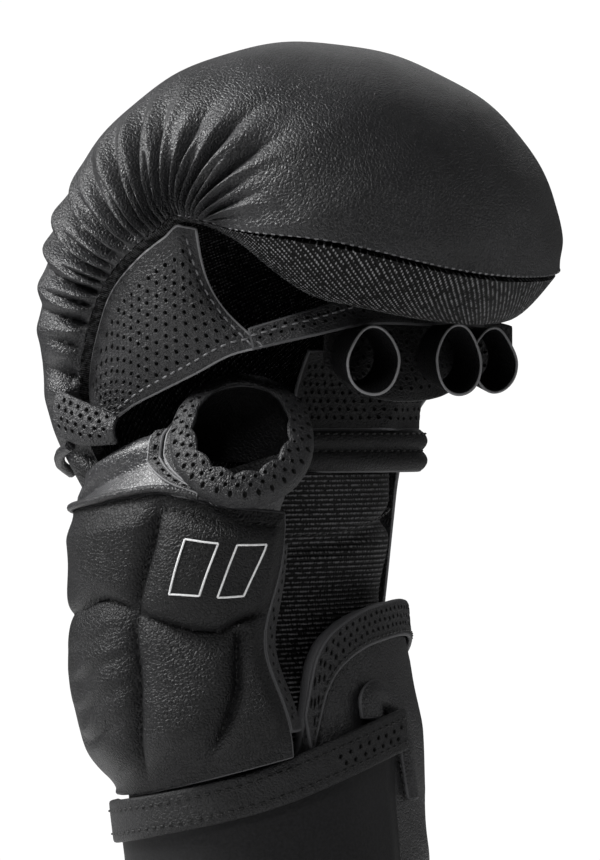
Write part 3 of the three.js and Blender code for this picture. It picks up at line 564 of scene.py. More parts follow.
def wall(surface, net, low, high, rounding=1.0, inner=MAIN):
    """The closed sheet between two heights over a surface, with rounded edges."""
    count = len(net.a)
    low, high = (np.broadcast_to(v, count).astype(float) for v in (low, high))
    base = surface.at(net.a, net.b)
    out = surface.normal(net.a, net.b)
    top = base + out * (high - net.sink)[:, None]
    foot = base + out * low[:, None]
    faces = [f[::-1] for f in net.faces] if surface.flip else net.faces
    edges = border(faces)
    points = [top, foot]
    everything = faces + [[i + count for i in f[::-1]] for f in faces]
    kinds = net.kinds + [inner] * len(faces)
    if edges:
        ring = sorted({i for e in edges for i in e})
        place = {v: k for k, v in enumerate(ring)}
        away = np.zeros((len(ring), 3))
        for a, b in edges:
            run = unit(base[b] - base[a])
            away[place[a]] += np.cross(run, out[a])
            away[place[b]] += np.cross(run, out[b])
        away = unit(away)
        middle = ((high + low) / 2)[ring]
        half = ((high - low) / 2)[ring]
        layers = [np.array(ring)]
        for k in range(1, RIM_STEPS):
            turn = math.pi * k / RIM_STEPS
            level = middle + half * math.cos(turn)
            reach = half * math.sin(turn) * rounding
            points.append(base[ring] + out[ring] * level[:, None] + away * reach[:, None])
            layers.append(np.arange(len(ring)) + 2 * count + (k - 1) * len(ring))
        layers.append(np.array(ring) + count)
        for upper, lower in zip(layers, layers[1:]):
            for a, b in edges:
                ka, kb = place[a], place[b]
                everything.append([upper[kb], upper[ka], lower[ka], lower[kb]])
                kinds.append(CUT_EDGE)
    cloth = stack(*self_cloth(surface, net), 0.0)
    pad = np.zeros((sum(len(p) for p in points) - 2 * count, 3))
    return np.vstack(points), everything, kinds, np.vstack([cloth, cloth, pad])


def self_cloth(surface, net):
    """Each point's place on the flat sheet, in metres."""
    size_a, size_b = surface.lengths()
    return (
        (net.a - surface.a[0]) / (surface.a[1] - surface.a[0]) * size_a * MM,
        (net.b - surface.b[0]) / (surface.b[1] - surface.b[0]) * size_b * MM,
    )


def build(name, shape, materials, slot, *nodes):
    """A piece of the glove, which may stand for nodes of the frame."""
    points, faces, kinds, cloth = shape
    mesh = bpy.data.meshes.new(name)
    mesh.from_pydata(((points + FRAME_SHIFT) * MM).tolist(), [], [list(map(int, f)) for f in faces])
    for material in materials:
        mesh.materials.append(material)
    if kinds is not None:
        last = len(materials) - 1
        mesh.polygons.foreach_set("material_index", [min(int(k), last) for k in kinds])
    mesh.shade_smooth()
    mesh.set_sharp_from_angle(angle=SHARP)
    if cloth is not None:
        layer = mesh.attributes.new("cloth", "FLOAT_VECTOR", "POINT")
        layer.data.foreach_set("vector", cloth.ravel())
    obj = bpy.data.objects.new(name, mesh)
    bpy.context.scene.collection.objects.link(obj)
    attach(obj, "root")
    if nodes:
        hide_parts(*nodes)
    return obj


def hand_point(bearing, z, off=0.0):
    """A point of the hollow's side, or off it by some millimetres."""
    deep, wide = by_key(HAND, "deep", z) + off, by_key(HAND, "wide", z) + off
    turn = np.radians(bearing)
    return stack(by_key(HAND, "x", z) + deep * np.cos(turn), wide * np.sin(turn), z)


def pad_row(s):
    """The padding's section at row s, with its crest and the direction in which that faces."""
    row = {name: along(PAD, name, s) for name in PAD}
    lean = np.radians(row["lean"])
    row["crest"] = stack(row["x"], 0.0, row["z"])
    row["out"] = stack(np.sin(lean), 0.0, np.cos(lean))
    return row


def gather_depth(s, v):
    """Depth of the gathers: sharp valleys with a full ridge beside each, drawn flat by the seam."""
    side = np.abs(v)
    sewn = 1 - GATHER_SEWN["flat"] * smooth((side - GATHER_SEWN["from"]) / (1 - GATHER_SEWN["from"]))
    total = np.zeros(np.broadcast(s, v).shape)
    for at, wide, deep, reach, slant in zip(*GATHERS.values()):
        rise = (1 - side) / (1.2 * reach)
        near = s - at - slant * rise * np.sign(GATHER_MIDDLE - at)
        near = np.abs(near / (wide * (0.8 + 0.5 * rise)))
        run = smooth((1 - rise) * 1.3)
        valley = np.exp(-(near**GATHER_SHARP))
        ridge = GATHER_RIDGE["high"] * np.exp(-((near - GATHER_RIDGE["aside"]) ** 2))
        total = total + GATHER_DEPTH * deep * (valley - ridge) * run * sewn
    return total


def soft_waves(s, v):
    """Shallow uneven waves of the leather over its foam."""
    waves = np.sin(3.1 * s + 5 * v) * np.sin(7.3 * v + 1.7 * s + 0.6)
    return WAVE_DEEP * waves * smooth((s - 2) / 3)


def pad_outer(s, v, gathered=True):
    """The leather at row s; v runs from the thumb side's edge (-1) over the crest to the other (1)."""
    rise = SEAM_RISE * np.exp(-(((v + 0.6) / 0.3) ** 2)) * smooth((1 + v) / 0.15)
    s = s - rise * smooth((s - PAD_LAST + SEAM_ROWS) / SEAM_ROWS)
    row = pad_row(s)
    turn = np.radians(v * PAD_WRAP)
    down = row["drop"] * (1 - np.cos(turn))
    p = row["crest"] - row["out"] * down[..., None]
    p[..., 1] = row["width"] * np.sin(turn)
    lean = row["out"]
    away = unit(stack(lean[..., 0] * np.cos(turn), np.sin(turn), lean[..., 2] * np.cos(turn)))
    if gathered:
        p = p - away * (gather_depth(s, v) + soft_waves(s, v))[..., None]
    return p


def pad_inner(s, v):
    """The lining under the leather of pad_outer."""
    row = pad_row(s)
    edge = math.radians(PAD_WRAP)
    fall = row["drop"] * (1 - math.cos(edge)) - row["thick"]
    turn = np.radians(v * 90)
    p = row["crest"] - row["out"] * (row["thick"] + fall * (1 - np.cos(turn)))[..., None]
    p[..., 1] = (row["width"] * math.sin(edge) - row["rim"]) * np.sin(turn)
    return p


def below_edge(s):
    """Direction in which the pad's sides end: towards the palm, and down under the knuckles."""
    out = pad_row(s)["out"]
    return unit(mix(-out, np.array([-0.2, 0, -1.0]), smooth((s - 7) / 3)))


def pad_edge(s, v, t):
    """A point of the pad's turned edge, t of the way from the leather to the lining."""
    row = pad_row(s)
    ahead = stack(row["out"][..., 2], 0.0, -row["out"][..., 0])
    at_end = np.where(s >= PAD_LAST, 1.0, np.where(s <= 0, -1.0, 0.0))
    at_side = np.abs(v) >= 1
    away = unit(ahead * at_end[..., None] + below_edge(s) * at_side[..., None])
    front = row["swell"] + (FRONT_SWELL - row["swell"]) * smooth((1 - np.abs(v)) / FRONT_TAPER)
    end = np.where(at_end > 0, front, WRIST_SWELL)
    swell = np.where(at_side, row["swell"], end)
    full = swell * np.sin(np.clip(t, 0, 1) * math.pi)
    return mix(pad_outer(s, v, False), pad_inner(s, v), t) + away * full[..., None]


def edge_round(rows, sides):
    """The shell's edge once round: up the thumb side, across the front, and back down."""
    return (
        [(s, -1.0) for s in rows[:-1]]
        + [(rows[-1], v) for v in sides[:-1]]
        + [(s, 1.0) for s in rows[:0:-1]]
        + [(rows[0], v) for v in sides[:0:-1]]
    )


def lining_patch(rows, sides, edge_steps):
    """Lining side of the pad: its inner face and swollen edge, facing the hand."""
    rows, sides = list(rows), list(sides)
    inner = grid(rows, sides)
    points = [pad_inner(inner.a, inner.b)]
    faces = [f[::-1] for f in inner.faces]
    loop = edge_round(rows, sides)
    row_at = {s: k for k, s in enumerate(rows)}
    side_at = {v: k for k, v in enumerate(sides)}
    last = [row_at[s] * len(sides) + side_at[v] for s, v in loop]
    s, v = (np.array(c) for c in zip(*loop))
    count, size = len(inner.a), len(loop)
    for k, t in enumerate(edge_steps[::-1]):
        points.append(pad_edge(s, v, np.full(size, t)))
        new = list(range(count + k * size, count + (k + 1) * size))
        faces += [[last[m], last[(m + 1) % size], new[(m + 1) % size], new[m]] for m in range(size)]
        last = new
    # How far round the edge and how far in from it each point lies, for the weave.
    run = np.linalg.norm(np.diff(points[-1], axis=0, prepend=points[-1][:1]), axis=1).cumsum()
    cloth = [stack(inner.b * 50, inner.a * 18, 0.0)]
    deep = np.cumsum([0] + [np.abs(t0 - t1) * 30 for t0, t1 in zip(edge_steps, edge_steps[1:])])
    cloth += [stack(run, deep[len(edge_steps) - 1 - k], 0.0) for k in range(len(edge_steps))]
    return np.vstack(points), faces, last, loop, np.vstack(cloth) * MM


def mesh_normals(points, faces):
    """The direction that the faces round each point look to."""
    sums = np.zeros_like(points)
    for size in {len(f) for f in faces}:
        same = np.array([f for f in faces if len(f) == size])
        a, b, c = (points[same[:, k]] for k in (0, size // 2 if size > 3 else 1, size - 1))
        n = np.cross(b - a, c - a)
        for k in range(size):
            np.add.at(sums, same[:, k], n)
    return unit(sums)


def zip_edges(outer, inner, once_round):
    """Joins two open edges, each a list of (index, how far round), with triangles."""

    def far(ring, k):
        return once_round if k >= len(ring) else ring[k][1]

    faces = []
    i = j = 0
    while i < len(outer) or j < len(inner):
        o, n = outer[i % len(outer)][0], inner[j % len(inner)][0]
        if i < len(outer) and (j >= len(inner) or far(outer, i + 1) <= far(inner, j + 1)):
            faces.append([outer[(i + 1) % len(outer)][0], o, n])
            i += 1
        else:
            faces.append([n, inner[(j + 1) % len(inner)][0], o])
            j += 1
    return faces


def far_round(s, v):
    """How far round the pad's edge a place lies."""
    if v <= -1 and s < PAD_LAST:
        return s
    if s >= PAD_LAST and v < 1:
        return PAD_LAST + (v + 1)
    if v >= 1 and s > 0:
        return 2 * PAD_LAST + 2 - s
    return 2 * PAD_LAST + 2 + (1 - v)


PAD_ROWS = runs((0, 2, 24), (2, 12, 340), (12, PAD_LAST, 20))
PAD_SIDES = runs((-1, -0.94, 5), (-0.94, 0.94, 150), (0.94, 1, 5))
# The hidden side of the foam has few faces.
COARSE_ROWS = np.append(spread((0, 9), 13), [10, 11.4, PAD_LAST])
COARSE_SIDES = spread((-1, 1), 10)
COARSE_EDGE = [0.006, 0.12, 0.3, 0.54, 0.8]


def pad_leather():
    """The padded shell: its leather outside, and the foam's hidden side behind the lining."""
    rows, sides = PAD_ROWS.tolist(), PAD_SIDES.tolist()
    net = grid(rows, sides)
    outer = pad_outer(net.a, net.b)
    hidden, hidden_faces, edge, loop, _ = lining_patch(COARSE_ROWS, COARSE_SIDES, COARSE_EDGE)
    hidden = hidden - mesh_normals(hidden, hidden_faces) * (LINING + 0.1 + GAP)
    count = len(outer)
    row_at = {s: k for k, s in enumerate(rows)}
    side_at = {v: k for k, v in enumerate(sides)}
    outer_ring = [
        (row_at[s] * len(sides) + side_at[v], far_round(s, v)) for s, v in edge_round(rows, sides)
    ]
    inner_ring = [(edge[k] + count, far_round(s, v)) for k, (s, v) in enumerate(loop)]
    faces = (
        net.faces
        + zip_edges(outer_ring, inner_ring, 2 * PAD_LAST + 4)
        + [[i + count for i in f] for f in hidden_faces]
    )
    return np.vstack([outer, hidden]), faces, None, None


LINING_ROWS = runs((0, 9, 90), (9, PAD_LAST, 60))
LINING_SIDES = spread((-1, 1), 90)
LINING_EDGE = np.linspace(0.03, 0.97, 22).tolist()


def pad_lining():
    """The cloth that covers the padding's inner side and its swollen edge."""
    patch, faces, edge, loop, cloth = lining_patch(LINING_ROWS, LINING_SIDES, LINING_EDGE)
    out = mesh_normals(patch, faces)
    count = len(patch)
    rim = [[b, a, a + count, b + count] for a, b in border(faces)]
    everything = faces + [[i + count for i in f[::-1]] for f in faces] + rim
    return np.vstack([patch, patch - out * LINING]), everything, None, np.vstack([cloth, cloth])


def cuff_wrapped(bearing):
    """The same bearing between -180 and 180."""
    return (np.asarray(bearing) + 180) % 360 - 180


def cuff_top(bearing):
    return by_key(CUFF, "top", cuff_wrapped(bearing))


def cuff_thick(bearing, z):
    """Thickness of the cuff with its padding."""
    full = by_key(CUFF, "pad", cuff_wrapped(bearing))
    aside = (bearing - CUFF_PUFF["bearing"]) / CUFF_PUFF["wide"]
    puffed = CUFF_PUFF["high"] * np.exp(-(aside**2)) * smooth((CUFF_PUFF["top"] - z) / CUFF_PUFF["fade"])
    padded = smooth((z - CUFF_PAD["foot"]) / CUFF_PAD["rise"])
    return CUFF_WALL + (full - CUFF_WALL) * padded + puffed * smooth(z / 30)


def cuff_body():
    """The cuff's tube with shallow creases."""
    surface = Surface(lambda b, t: hand_point(b, t * cuff_top(b)), (-180, 180), (0, 1))
    net = grid(spread((-180, 180), 240)[:-1], spread((0, 1), 60), ring=True)
    z = net.b * cuff_top(net.a)
    creases = 0.5 * np.sin(z * 0.21 + net.a * 0.05) * np.sin(net.a * 0.09 + 1) * smooth(z / 12)
    shape = wall(surface, net, 0, cuff_thick(net.a, z) + np.minimum(creases, 0.0), 0.6)
    shape[0][:, 2] = np.maximum(shape[0][:, 2], 0)
    return shape


HAND_SURFACE = Surface(hand_point, (-180, 180), (0, 165))


def on_cuff(z, ends, lift=0.0):
    """The surface of a band that lies on the cuff; z(bearing, t) gives its height."""

    def at(b, t):
        height = z(b, t)
        return HAND_SURFACE.lifted(b, height, cuff_thick(b, height) + GAP + lift)

    return Surface(at, ends, (0, 1))


def cuff_binding_surface():
    def z(b, t):
        top = cuff_top(b)
        foot = np.maximum(top - CUFF_BINDING["deep"], by_key(STRAP, "top", b) + 1.4)
        return foot + (top + CUFF_BINDING["over"] - foot) * t

    return on_cuff(z, (CUFF_BINDING["first"], CUFF_BINDING["last"]))


def strap_surface():
    def z(b, t):
        foot = by_key(STRAP, "foot", b)
        return foot + (by_key(STRAP, "top", b) - foot) * t

    return on_cuff(z, STRAP_ENDS)


def strap_binding_surface():
    def z(b, t):
        return by_key(STRAP, "top", b) + 0.8 + STRAP_BINDING["deep"] * (t - 1)

    return on_cuff(z, (STRAP_BINDING["first"], STRAP_ENDS[1]), STRAP_THICK + GAP)


def channel_place(u, t):
    """Bearing and height at row u of the loop, t half widths to the side of its middle line."""
    b0, b1 = (along(CHANNEL, "bearing", u + d) for d in (-0.1, 0.1))
    z0, z1 = (along(CHANNEL, "z", u + d) for d in (-0.1, 0.1))
    run = np.hypot((b1 - b0) * CHANNEL_DEGREE, z1 - z0)
    side = along(CHANNEL, "wide", u) / 2 * t
    bearing = along(CHANNEL, "bearing", u) + side * (z1 - z0) / run / CHANNEL_DEGREE
    return bearing, along(CHANNEL, "z", u) - side * (b1 - b0) * CHANNEL_DEGREE / run


def channel_surface():
    def at(u, t):
        bearing, z = channel_place(u, -t)
        return HAND_SURFACE.lifted(bearing, z, cuff_thick(bearing, z) + GAP + 0.2)

    return Surface(at, row_span(CHANNEL), (-1, 1))


def thumb_point(t, up):
    """The thumb panel's inner side, t of the way from its back edge to the palm and up from its foot."""
    foot, top = by_key(THUMB_FOOT, "z", t), by_key(THUMB_TOP, "z", t)
    z = foot + (top - foot) * up
    bearing = THUMB_BEARINGS[0] + (THUMB_BEARINGS[-1] - THUMB_BEARINGS[0]) * t
    radii = np.stack([through(THUMB_LEVELS["z"], column, z) for column in THUMB_RADII.T])
    r = through(THUMB_BEARINGS, radii, bearing)
    turn = np.radians(bearing)
    return stack(by_key(THUMB_LEVELS, "x", z) + r * np.cos(turn), r * np.sin(turn), z)


def back_seam(up):
    return by_key(BACK_SEAM, "t", up)


def front_seam(up):
    return by_key(FRONT_SEAM, "t", up)


def quilt_thick(t, up):
    """Padding of the thumb panel: soft cells that are drawn in sharply at the quilting."""

    def drawn(distance, wide):
        return 1 - np.exp(-np.clip(np.abs(distance) / wide, 0, 9) ** 0.9)

    back = drawn(t - back_seam(up), SEAM_WIDE)
    lower = smooth((0.56 - up) / 0.04)
    front = drawn(t - front_seam(up), SEAM_WIDE) * lower + (1 - lower)
    fold = by_key(FOLD, "up", t)
    level = drawn(up - fold, np.where(up < fold, *FOLD_WIDE))
    hemmed = smooth((t - 0.66) / 0.08)
    top = drawn(up - HEM_SEAM, 0.03) * hemmed + 1 - hemmed
    cell = back * front * level * (0.45 + 0.55 * top) * smooth((up - 0.015) / LOWER_SLOPE)
    wrinkle = np.zeros_like(cell)
    beside = np.exp(-(((t - back_seam(up) + 0.14) / 0.11) ** 2))
    for at, deep in zip(*WRINKLES.values()):
        near = (up - at - 0.03 * np.sin(t * 13)) / 0.02
        wrinkle = wrinkle - deep * beside * (np.exp(-near * near) - 0.5 * np.exp(-((near - 1.8) ** 2)))
    soft = 0.3 * np.sin(t * 23 + 4 * up) * np.sin(up * 17 + 2 * t)
    rim = smooth(np.minimum(np.minimum(t, 1 - t) / 0.05, np.minimum(up / 0.05, (1 - up) / 0.11)))
    full = (QUILT["full"] - QUILT["seam"]) * (1 - 0.45 * smooth((0.6 - t) / 0.22)) + wrinkle + soft
    return QUILT["edge"] + rim * (QUILT["seam"] - QUILT["edge"] + full * cell)


def drawn_in(t, up):
    """The panel's palm edge is drawn in at its middle."""
    waist = 0.055 * np.exp(-(((up - 0.47) / 0.26) ** 2))
    return t - waist * smooth((t - 0.82) / 0.18)


def thumb_surface():
    return Surface(lambda t, up: thumb_point(drawn_in(t, up), up), (0, 1), (0, 1))


def thumb_panel():
    net = grid(spread((0, 1), 170), spread((0, 1), 150))
    return wall(thumb_surface(), net, 0, quilt_thick(net.a, net.b), 0.5)


def thumb_strip_surface():
    def at(k, up):
        wide = THUMB_STRIP["wide"] * (0.35 + 0.65 * smooth((THUMB_STRIP["last"] - up) / 0.3))
        inward = unit(np.array([-0.25, 1, 0.0]))
        return thumb_point(drawn_in(np.ones_like(up), up), up) + inward * (GAP + wide * k)[..., None]

    return Surface(at, (0, 1), (THUMB_STRIP["first"], THUMB_STRIP["last"]))


def ring_faces(rings, sides):
    """Faces of a closed tube of points that lie in rings, one ring after the other."""
    i, k = (m.ravel() for m in np.meshgrid(np.arange(rings - 1) * sides, np.arange(sides), indexing="ij"))
    n = (k + 1) % sides
    round_ = np.stack([i + k, i + n, i + sides + n, i + sides + k], -1).tolist()
    last = (rings - 1) * sides
    return round_ + [list(range(sides))[::-1], list(range(last, last + sides))]


def tube(points, radius, sides=10):
    """A closed round tube along points."""
    count = len(points)
    ahead = unit(np.gradient(points, axis=0))
    a = unit(np.cross(ahead, [0.01, 0.02, 1]))
    b = np.cross(ahead, a)
    turn = np.linspace(0, 2 * math.pi, sides, endpoint=False)
    spokes = a[:, None] * np.cos(turn)[:, None] + b[:, None] * np.sin(turn)[:, None]
    ring = points[:, None] + radius * spokes
    run = np.linalg.norm(np.diff(points, axis=0, prepend=points[:1]), axis=1).cumsum()
    cloth = stack(np.repeat(run, sides), np.tile(turn * 1.3, count), 0.0) * MM
    return ring.reshape(-1, 3), ring_faces(count, sides), None, cloth


def resample(points, step):
    """Points at an even step along a smooth curve through the given ones."""
    key = np.r_[0, np.linalg.norm(np.diff(points, axis=0), axis=1).cumsum()]
    at = np.linspace(0, key[-1], max(2, round(key[-1] / step)) + 1)
    return np.stack([through(key, points[:, k], at) for k in range(3)], -1)


def join(shapes):
    """Several tubes or rows of stitches as one shape."""
    points, faces, cloth = [], [], []
    count = 0
    for p, f, _, c in shapes:
        points.append(p)
        faces += [[i + count for i in face] for face in f]
        cloth.append(c)
        count += len(p)
    return np.vstack(points), faces, None, np.vstack(cloth)


def piping_line():
    """Along the panel's upper edge, from its back as far as the hole's binding."""
    t = np.linspace(*PIPING_ENDS, 60)
    p = thumb_point(t, np.ones_like(t))
    out = unit(stack(p[:, 0] + 6, p[:, 1], 0.0))
    return p + [0, 0, CORD_RADIUS + 0.3] + out * (SLEEVE_WALL + CORD_RADIUS + 0.4)


FACING = unit(HOLE_FACING)
LEVEL = unit(np.cross([0, 0, 1], FACING))
CLIMB = np.cross(FACING, LEVEL)


def hole_point(turn, grow=0.0, out=0.0):
    """A point round the thumb's hole, grow outside its edge and out in front of it."""
    turn = np.radians(turn)
    wide = (HOLE_WIDE + grow) * np.cos(turn)
    tall = (HOLE_TALL + grow) * np.sin(turn)
    reach = np.broadcast_to(out, turn.shape)
    return HOLE_AT + LEVEL * wide[..., None] + CLIMB * tall[..., None] + FACING * reach[..., None]


def sleeve_point(turn, up):
    """The sleeve round the thumb, from its foot (up 0) to its collar's rim (up 1)."""
    turn = np.mod(turn, 360)
    inside = stack(*(by_key(SLEEVE_INSIDE, k, turn) for k in "xyz"))
    panel = by_key(SLEEVE_PANEL, "panel", turn)
    edge = thumb_point(panel, np.ones_like(panel)) + [0, 0, GAP + 0.2]
    blend = smooth((turn - 178) / 16) * smooth((362 - turn) / 12)
    base = mix(inside, edge, np.where(turn < 178, 0, blend))
    bulge = np.where(turn > 170, by_key(SLEEVE_PANEL, "bulge", turn), 0)
    t = np.clip(up / COLLAR_FROM, 0, 1)
    p = mix(base, hole_point(turn, 0, -HOLE_COLLAR), t)
    away = unit(p - SLEEVE_BULGE_FROM) + np.array([0, 0, 0.5])
    p = p + away * (bulge * np.sin(t * math.pi) ** 0.85)[..., None]
    collar = hole_point(turn, 0, HOLE_COLLAR * ((up - 1) / (1 - COLLAR_FROM)))
    return np.where((up > COLLAR_FROM)[..., None], collar, p)


def sleeve_surface():
    return Surface(sleeve_point, (0, 360), (0, 1))


def binding_surface():
    """The binding round the thumb's hole, whose free edge is scalloped."""
    def at(turn, k):
        free = smooth((k - 2.4) / 1.6) * (np.abs(np.cos(np.radians(turn * SCALLOPS / 2))) - 0.4)
        free = free * smooth(0.9 - np.sin(np.radians(turn)))
        grow = by_key(BINDING, "grow", k) - 0.9 * free
        return hole_point(turn, grow, by_key(BINDING, "out", k) + 0.7 * free)

    return Surface(at, (0, 360), row_span(BINDING))


def sleeve_strip_surface(sleeve, low, high):
    """A strip laid round the back of the sleeve, between two heights of it."""
    first, last = SLEEVE_STRIP_ENDS

    def at(turn, k):
        taper = smooth((turn - first) / 12) * smooth((last - turn) / 30)
        up = (low + high) / 2 + (high - low) * (k - 0.5) * (0.3 + 0.7 * taper)
        return sleeve.lifted(turn, up, SLEEVE_WALL + 0.15)

    return Surface(at, SLEEVE_STRIP_ENDS, (0, 1))


def gusset_surface(rows, side):
    """A side panel: u runs along it, and v from the padding's edge to its free edge."""
    def at(u, v):
        row = along(rows, "row", u)
        start = pad_edge(row, np.full_like(row, side), np.full_like(row, GUSSET_START))
        start = start + below_edge(row) * GUSSET_DROP
        end = stack(*(along(rows, k, u) for k in "xyz"))
        round_ = np.sin(np.clip(v, 0, 1) * math.pi)
        bulge, bow = (along(rows, name, u) * round_ for name in ("bulge", "bow"))
        p = mix(start, end, v) + np.array([0.2, side, 0]) * bulge[..., None]
        return p + np.array([-1, 0, -0.3]) * bow[..., None]

    return Surface(at, row_span(rows), (0, 1), flip=side < 0)


def band_surface():
    def at(u, t):
        z = along(FINGER_BAND, "z", u) + along(FINGER_BAND, "tall", u) / 2 * t
        return stack(along(FINGER_BAND, "x", u) - 0.6 * t, along(FINGER_BAND, "y", u), z)

    return Surface(at, row_span(FINGER_BAND), (-1, 1))


def loop_surface(number):
    """One of the loops between the fingers; t runs from its open front to its back."""
    x, y, z, wide, tall, deep, faces = (FINGER_LOOPS[k][number] for k in FINGER_LOOPS)
    out = np.array([math.cos(math.radians(faces)), math.sin(math.radians(faces)), 0])
    across = np.array([-out[1], out[0], 0])

    def spoke(turn, t):
        up = np.cos(np.radians(turn))
        belly = np.sin(np.radians(turn)) * (0.8 + 0.2 * smooth((1 - up) / 1.1))
        flare = 1 - 0.18 * t
        ripple = 0.4 * np.sin(np.radians(turn * 2) + 0.8 + 1.3 * number) * (1 - t)
        side = across * ((wide / 2 + ripple) * belly * flare)[..., None]
        return side + np.array([0, 0, 1.0]) * (tall / 2 * up * flare)[..., None]

    def at(turn, t):
        middle = np.array([x, y, z]) + out * (deep / 2 - deep * t)[..., None]
        return middle + np.array([0, 0, 1.5]) * t[..., None] + spoke(turn, t)

    surface = Surface(at, (0, 360), (0, 1), flip=True)
    surface.normal = lambda turn, t: -unit(spoke(turn, t))
    return surface


def upright_surface(rows, bow=0.0):
    """A sheet that stands on a table's line of x and y, from its foot to its top."""

    def at(u, t):
        foot, top = along(rows, "foot", u), along(rows, "top", u)
        y = along(rows, "y", u) - bow * np.sin(np.clip(t, 0, 1) * math.pi)
        return stack(along(rows, "x", u), y, foot + (top - foot) * t)

    return Surface(at, row_span(rows), (0, 1))


def palm_surface():
    """The palm's leather, with a crease that climbs over it."""
    def at(u, t):
        x, y = along(PALM, "x", u), along(PALM, "y", u)
        fold = (u - 3.2 - 0.5 * (t - 0.5)) / 0.35
        z = PALM_PANEL["foot"] + (PALM_PANEL["top"] - PALM_PANEL["foot"]) * t
        return stack(x + 5 * t * t + PALM_PANEL["crease"] * np.exp(-fold * fold), y, z)

    return Surface(at, row_span(PALM), (0, 1))


def hem_surface():
    def at(u, t):
        z = PALM_HEM["foot"] + (PALM_HEM["top"] - PALM_HEM["foot"]) * t
        return stack(along(PALM, "x", u), along(PALM, "y", u), z)

    return Surface(at, row_span(PALM), (0, 1))


def elastic_surface():
    def at(b, z):
        return hand_point(b, z, 3.2 * smooth((z - 109) / 18) - SHEET - GAP)

    return Surface(at, (ELASTIC["first"], ELASTIC["last"]), (ELASTIC["foot"], ELASTIC["top"]))


def elastic_fold(b):
    """Height of the fold across the elastic."""
    return ELASTIC_FOLD["z"] + ELASTIC_FOLD["rise"] * smooth((b + 10) / 70)


def palm_elastic():
    """Ribbed elastic with a fold across it where it slackens."""
    heights = np.arange(ELASTIC["foot"], ELASTIC["top"] + 0.01, ELASTIC["rib"] / 5)
    net = grid(spread((ELASTIC["first"], ELASTIC["last"]), 62), heights)
    near = (net.b - elastic_fold(net.a)) / ELASTIC_FOLD["wide"]
    drawn = np.exp(-near * near) * smooth((net.a + 30) / 20)
    ribs = np.abs(np.sin(net.b * math.pi / ELASTIC["rib"])) * ELASTIC["high"] * (1 - 0.6 * drawn)
    thick = SHEET + ribs - ELASTIC_FOLD["deep"] * drawn
    return wall(elastic_surface(), net, np.minimum(0, thick - 1.0), thick, 0.5)


def stitches(points, out, length, radius):
    """Threads laid on a seam, each a short arched grain between two holes; one for each point."""
    ahead = unit(np.gradient(points, axis=0))
    side = unit(np.cross(out, ahead))
    turn = np.linspace(0, 2 * math.pi, STITCH_SIDES, endpoint=False)
    arch = (1 - STITCH_RINGS**2) * radius * 0.8 - STITCH_SUNK
    centre = points[:, None] + ahead[:, None] * (STITCH_RINGS * length / 2)[:, None]
    centre = centre + out[:, None] * arch[:, None]
    spoke = side[:, None] * np.cos(turn)[:, None] + out[:, None] * np.sin(turn)[:, None]
    ring = centre[:, :, None] + spoke[:, None] * (STITCH_THICK * radius)[:, None, None]
    one = ring_faces(len(STITCH_RINGS), STITCH_SIDES)
    size = len(STITCH_RINGS) * STITCH_SIDES
    faces = [[v + size * m for v in f] for m in range(len(points)) for f in one]
    flat = ring.reshape(-1, 3)
    return flat, faces, None, np.zeros_like(flat)


def seam(surface, a, b, lift, pitch=2.0, length=1.5, radius=0.26):
    """A row of stitches on a surface, along the line a, b; lift may differ along it."""
    a, b, lift = np.broadcast_arrays(*(np.asarray(v, float) for v in (a, b, lift)))
    line = surface.at(a, b)
    key = np.r_[0, np.linalg.norm(np.diff(line, axis=0), axis=1).cumsum()]
    at = np.linspace(0, key[-1], max(2, round(key[-1] / pitch)))
    a, b, lift = (np.interp(at, key, v) for v in (a, b, lift))
    out = surface.normal(a, b)
    return stitches(surface.at(a, b) + out * lift[:, None], out, length, radius)


def nodes_of(name):
    """A new material, its tree and its shader."""
    material = bpy.data.materials.new(name)
    material.use_nodes = True
    tree = material.node_tree
    return material, tree, tree.nodes["Principled BSDF"]


def add(tree, kind, links=(), **values):
    """A shader node with its inputs and settings by name; links are pairs of an input and its source."""
    node = tree.nodes.new(kind)
    for key, value in values.items():
        if key in node.inputs:
            node.inputs[key].default_value = value
        else:
            setattr(node, key, value)
    for key, source in links:
        tree.links.new(source, node.inputs[key])
    return node


def coordinates(tree, attribute=None, turn=0.0):
    """Places on the object, or on the flat cloth if its attribute is named, turned about Z."""
    if attribute:
        place = add(tree, "ShaderNodeAttribute", attribute_name=attribute).outputs["Vector"]
    else:
        place = add(tree, "ShaderNodeTexCoord").outputs["Object"]
    return add(tree, "ShaderNodeMapping", [("Vector", place)], Rotation=(0, 0, turn)).outputs["Vector"]


def noise(tree, place, scale, detail, **more):
    links = [("Vector", place)]
    return add(tree, "ShaderNodeTexNoise", links, Scale=scale, Detail=detail, **more).outputs["Fac"]


def multiply(tree, first, second):
    node = add(tree, "ShaderNodeMath", [(0, first), (1, second)], operation="MULTIPLY")
    return node.outputs[0]


def ramp(tree, source, low, high, from_low=0.0, from_high=1.0):
    values = {"From Min": from_low, "From Max": from_high, "To Min": low, "To Max": high}
    return add(tree, "ShaderNodeMapRange", [("Value", source)], **values).outputs["Result"]


def blend_colours(tree, factor, first, second):
    node = add(tree, "ShaderNodeMix", data_type="RGBA")
    node.inputs[6].default_value = (*first, 1)
    node.inputs[7].default_value = (*second, 1)
    tree.links.new(factor, node.inputs[0])
    return node.outputs[2]


def bump(tree, height, distance, strength=1.0, under=None):
    links = [("Height", height)] + ([] if under is None else [("Normal", under)])
    return add(tree, "ShaderNodeBump", links, Distance=distance * MM, Strength=strength).outputs["Normal"]


def dress(tree, shader, colour, normal, **values):
    """Links the shader's colour and normal, and sets its other inputs by name."""
    tree.links.new(colour, shader.inputs["Base Color"])
    tree.links.new(normal, shader.inputs["Normal"])
    for key, value in values.items():
        shader.inputs[key].default_value = value


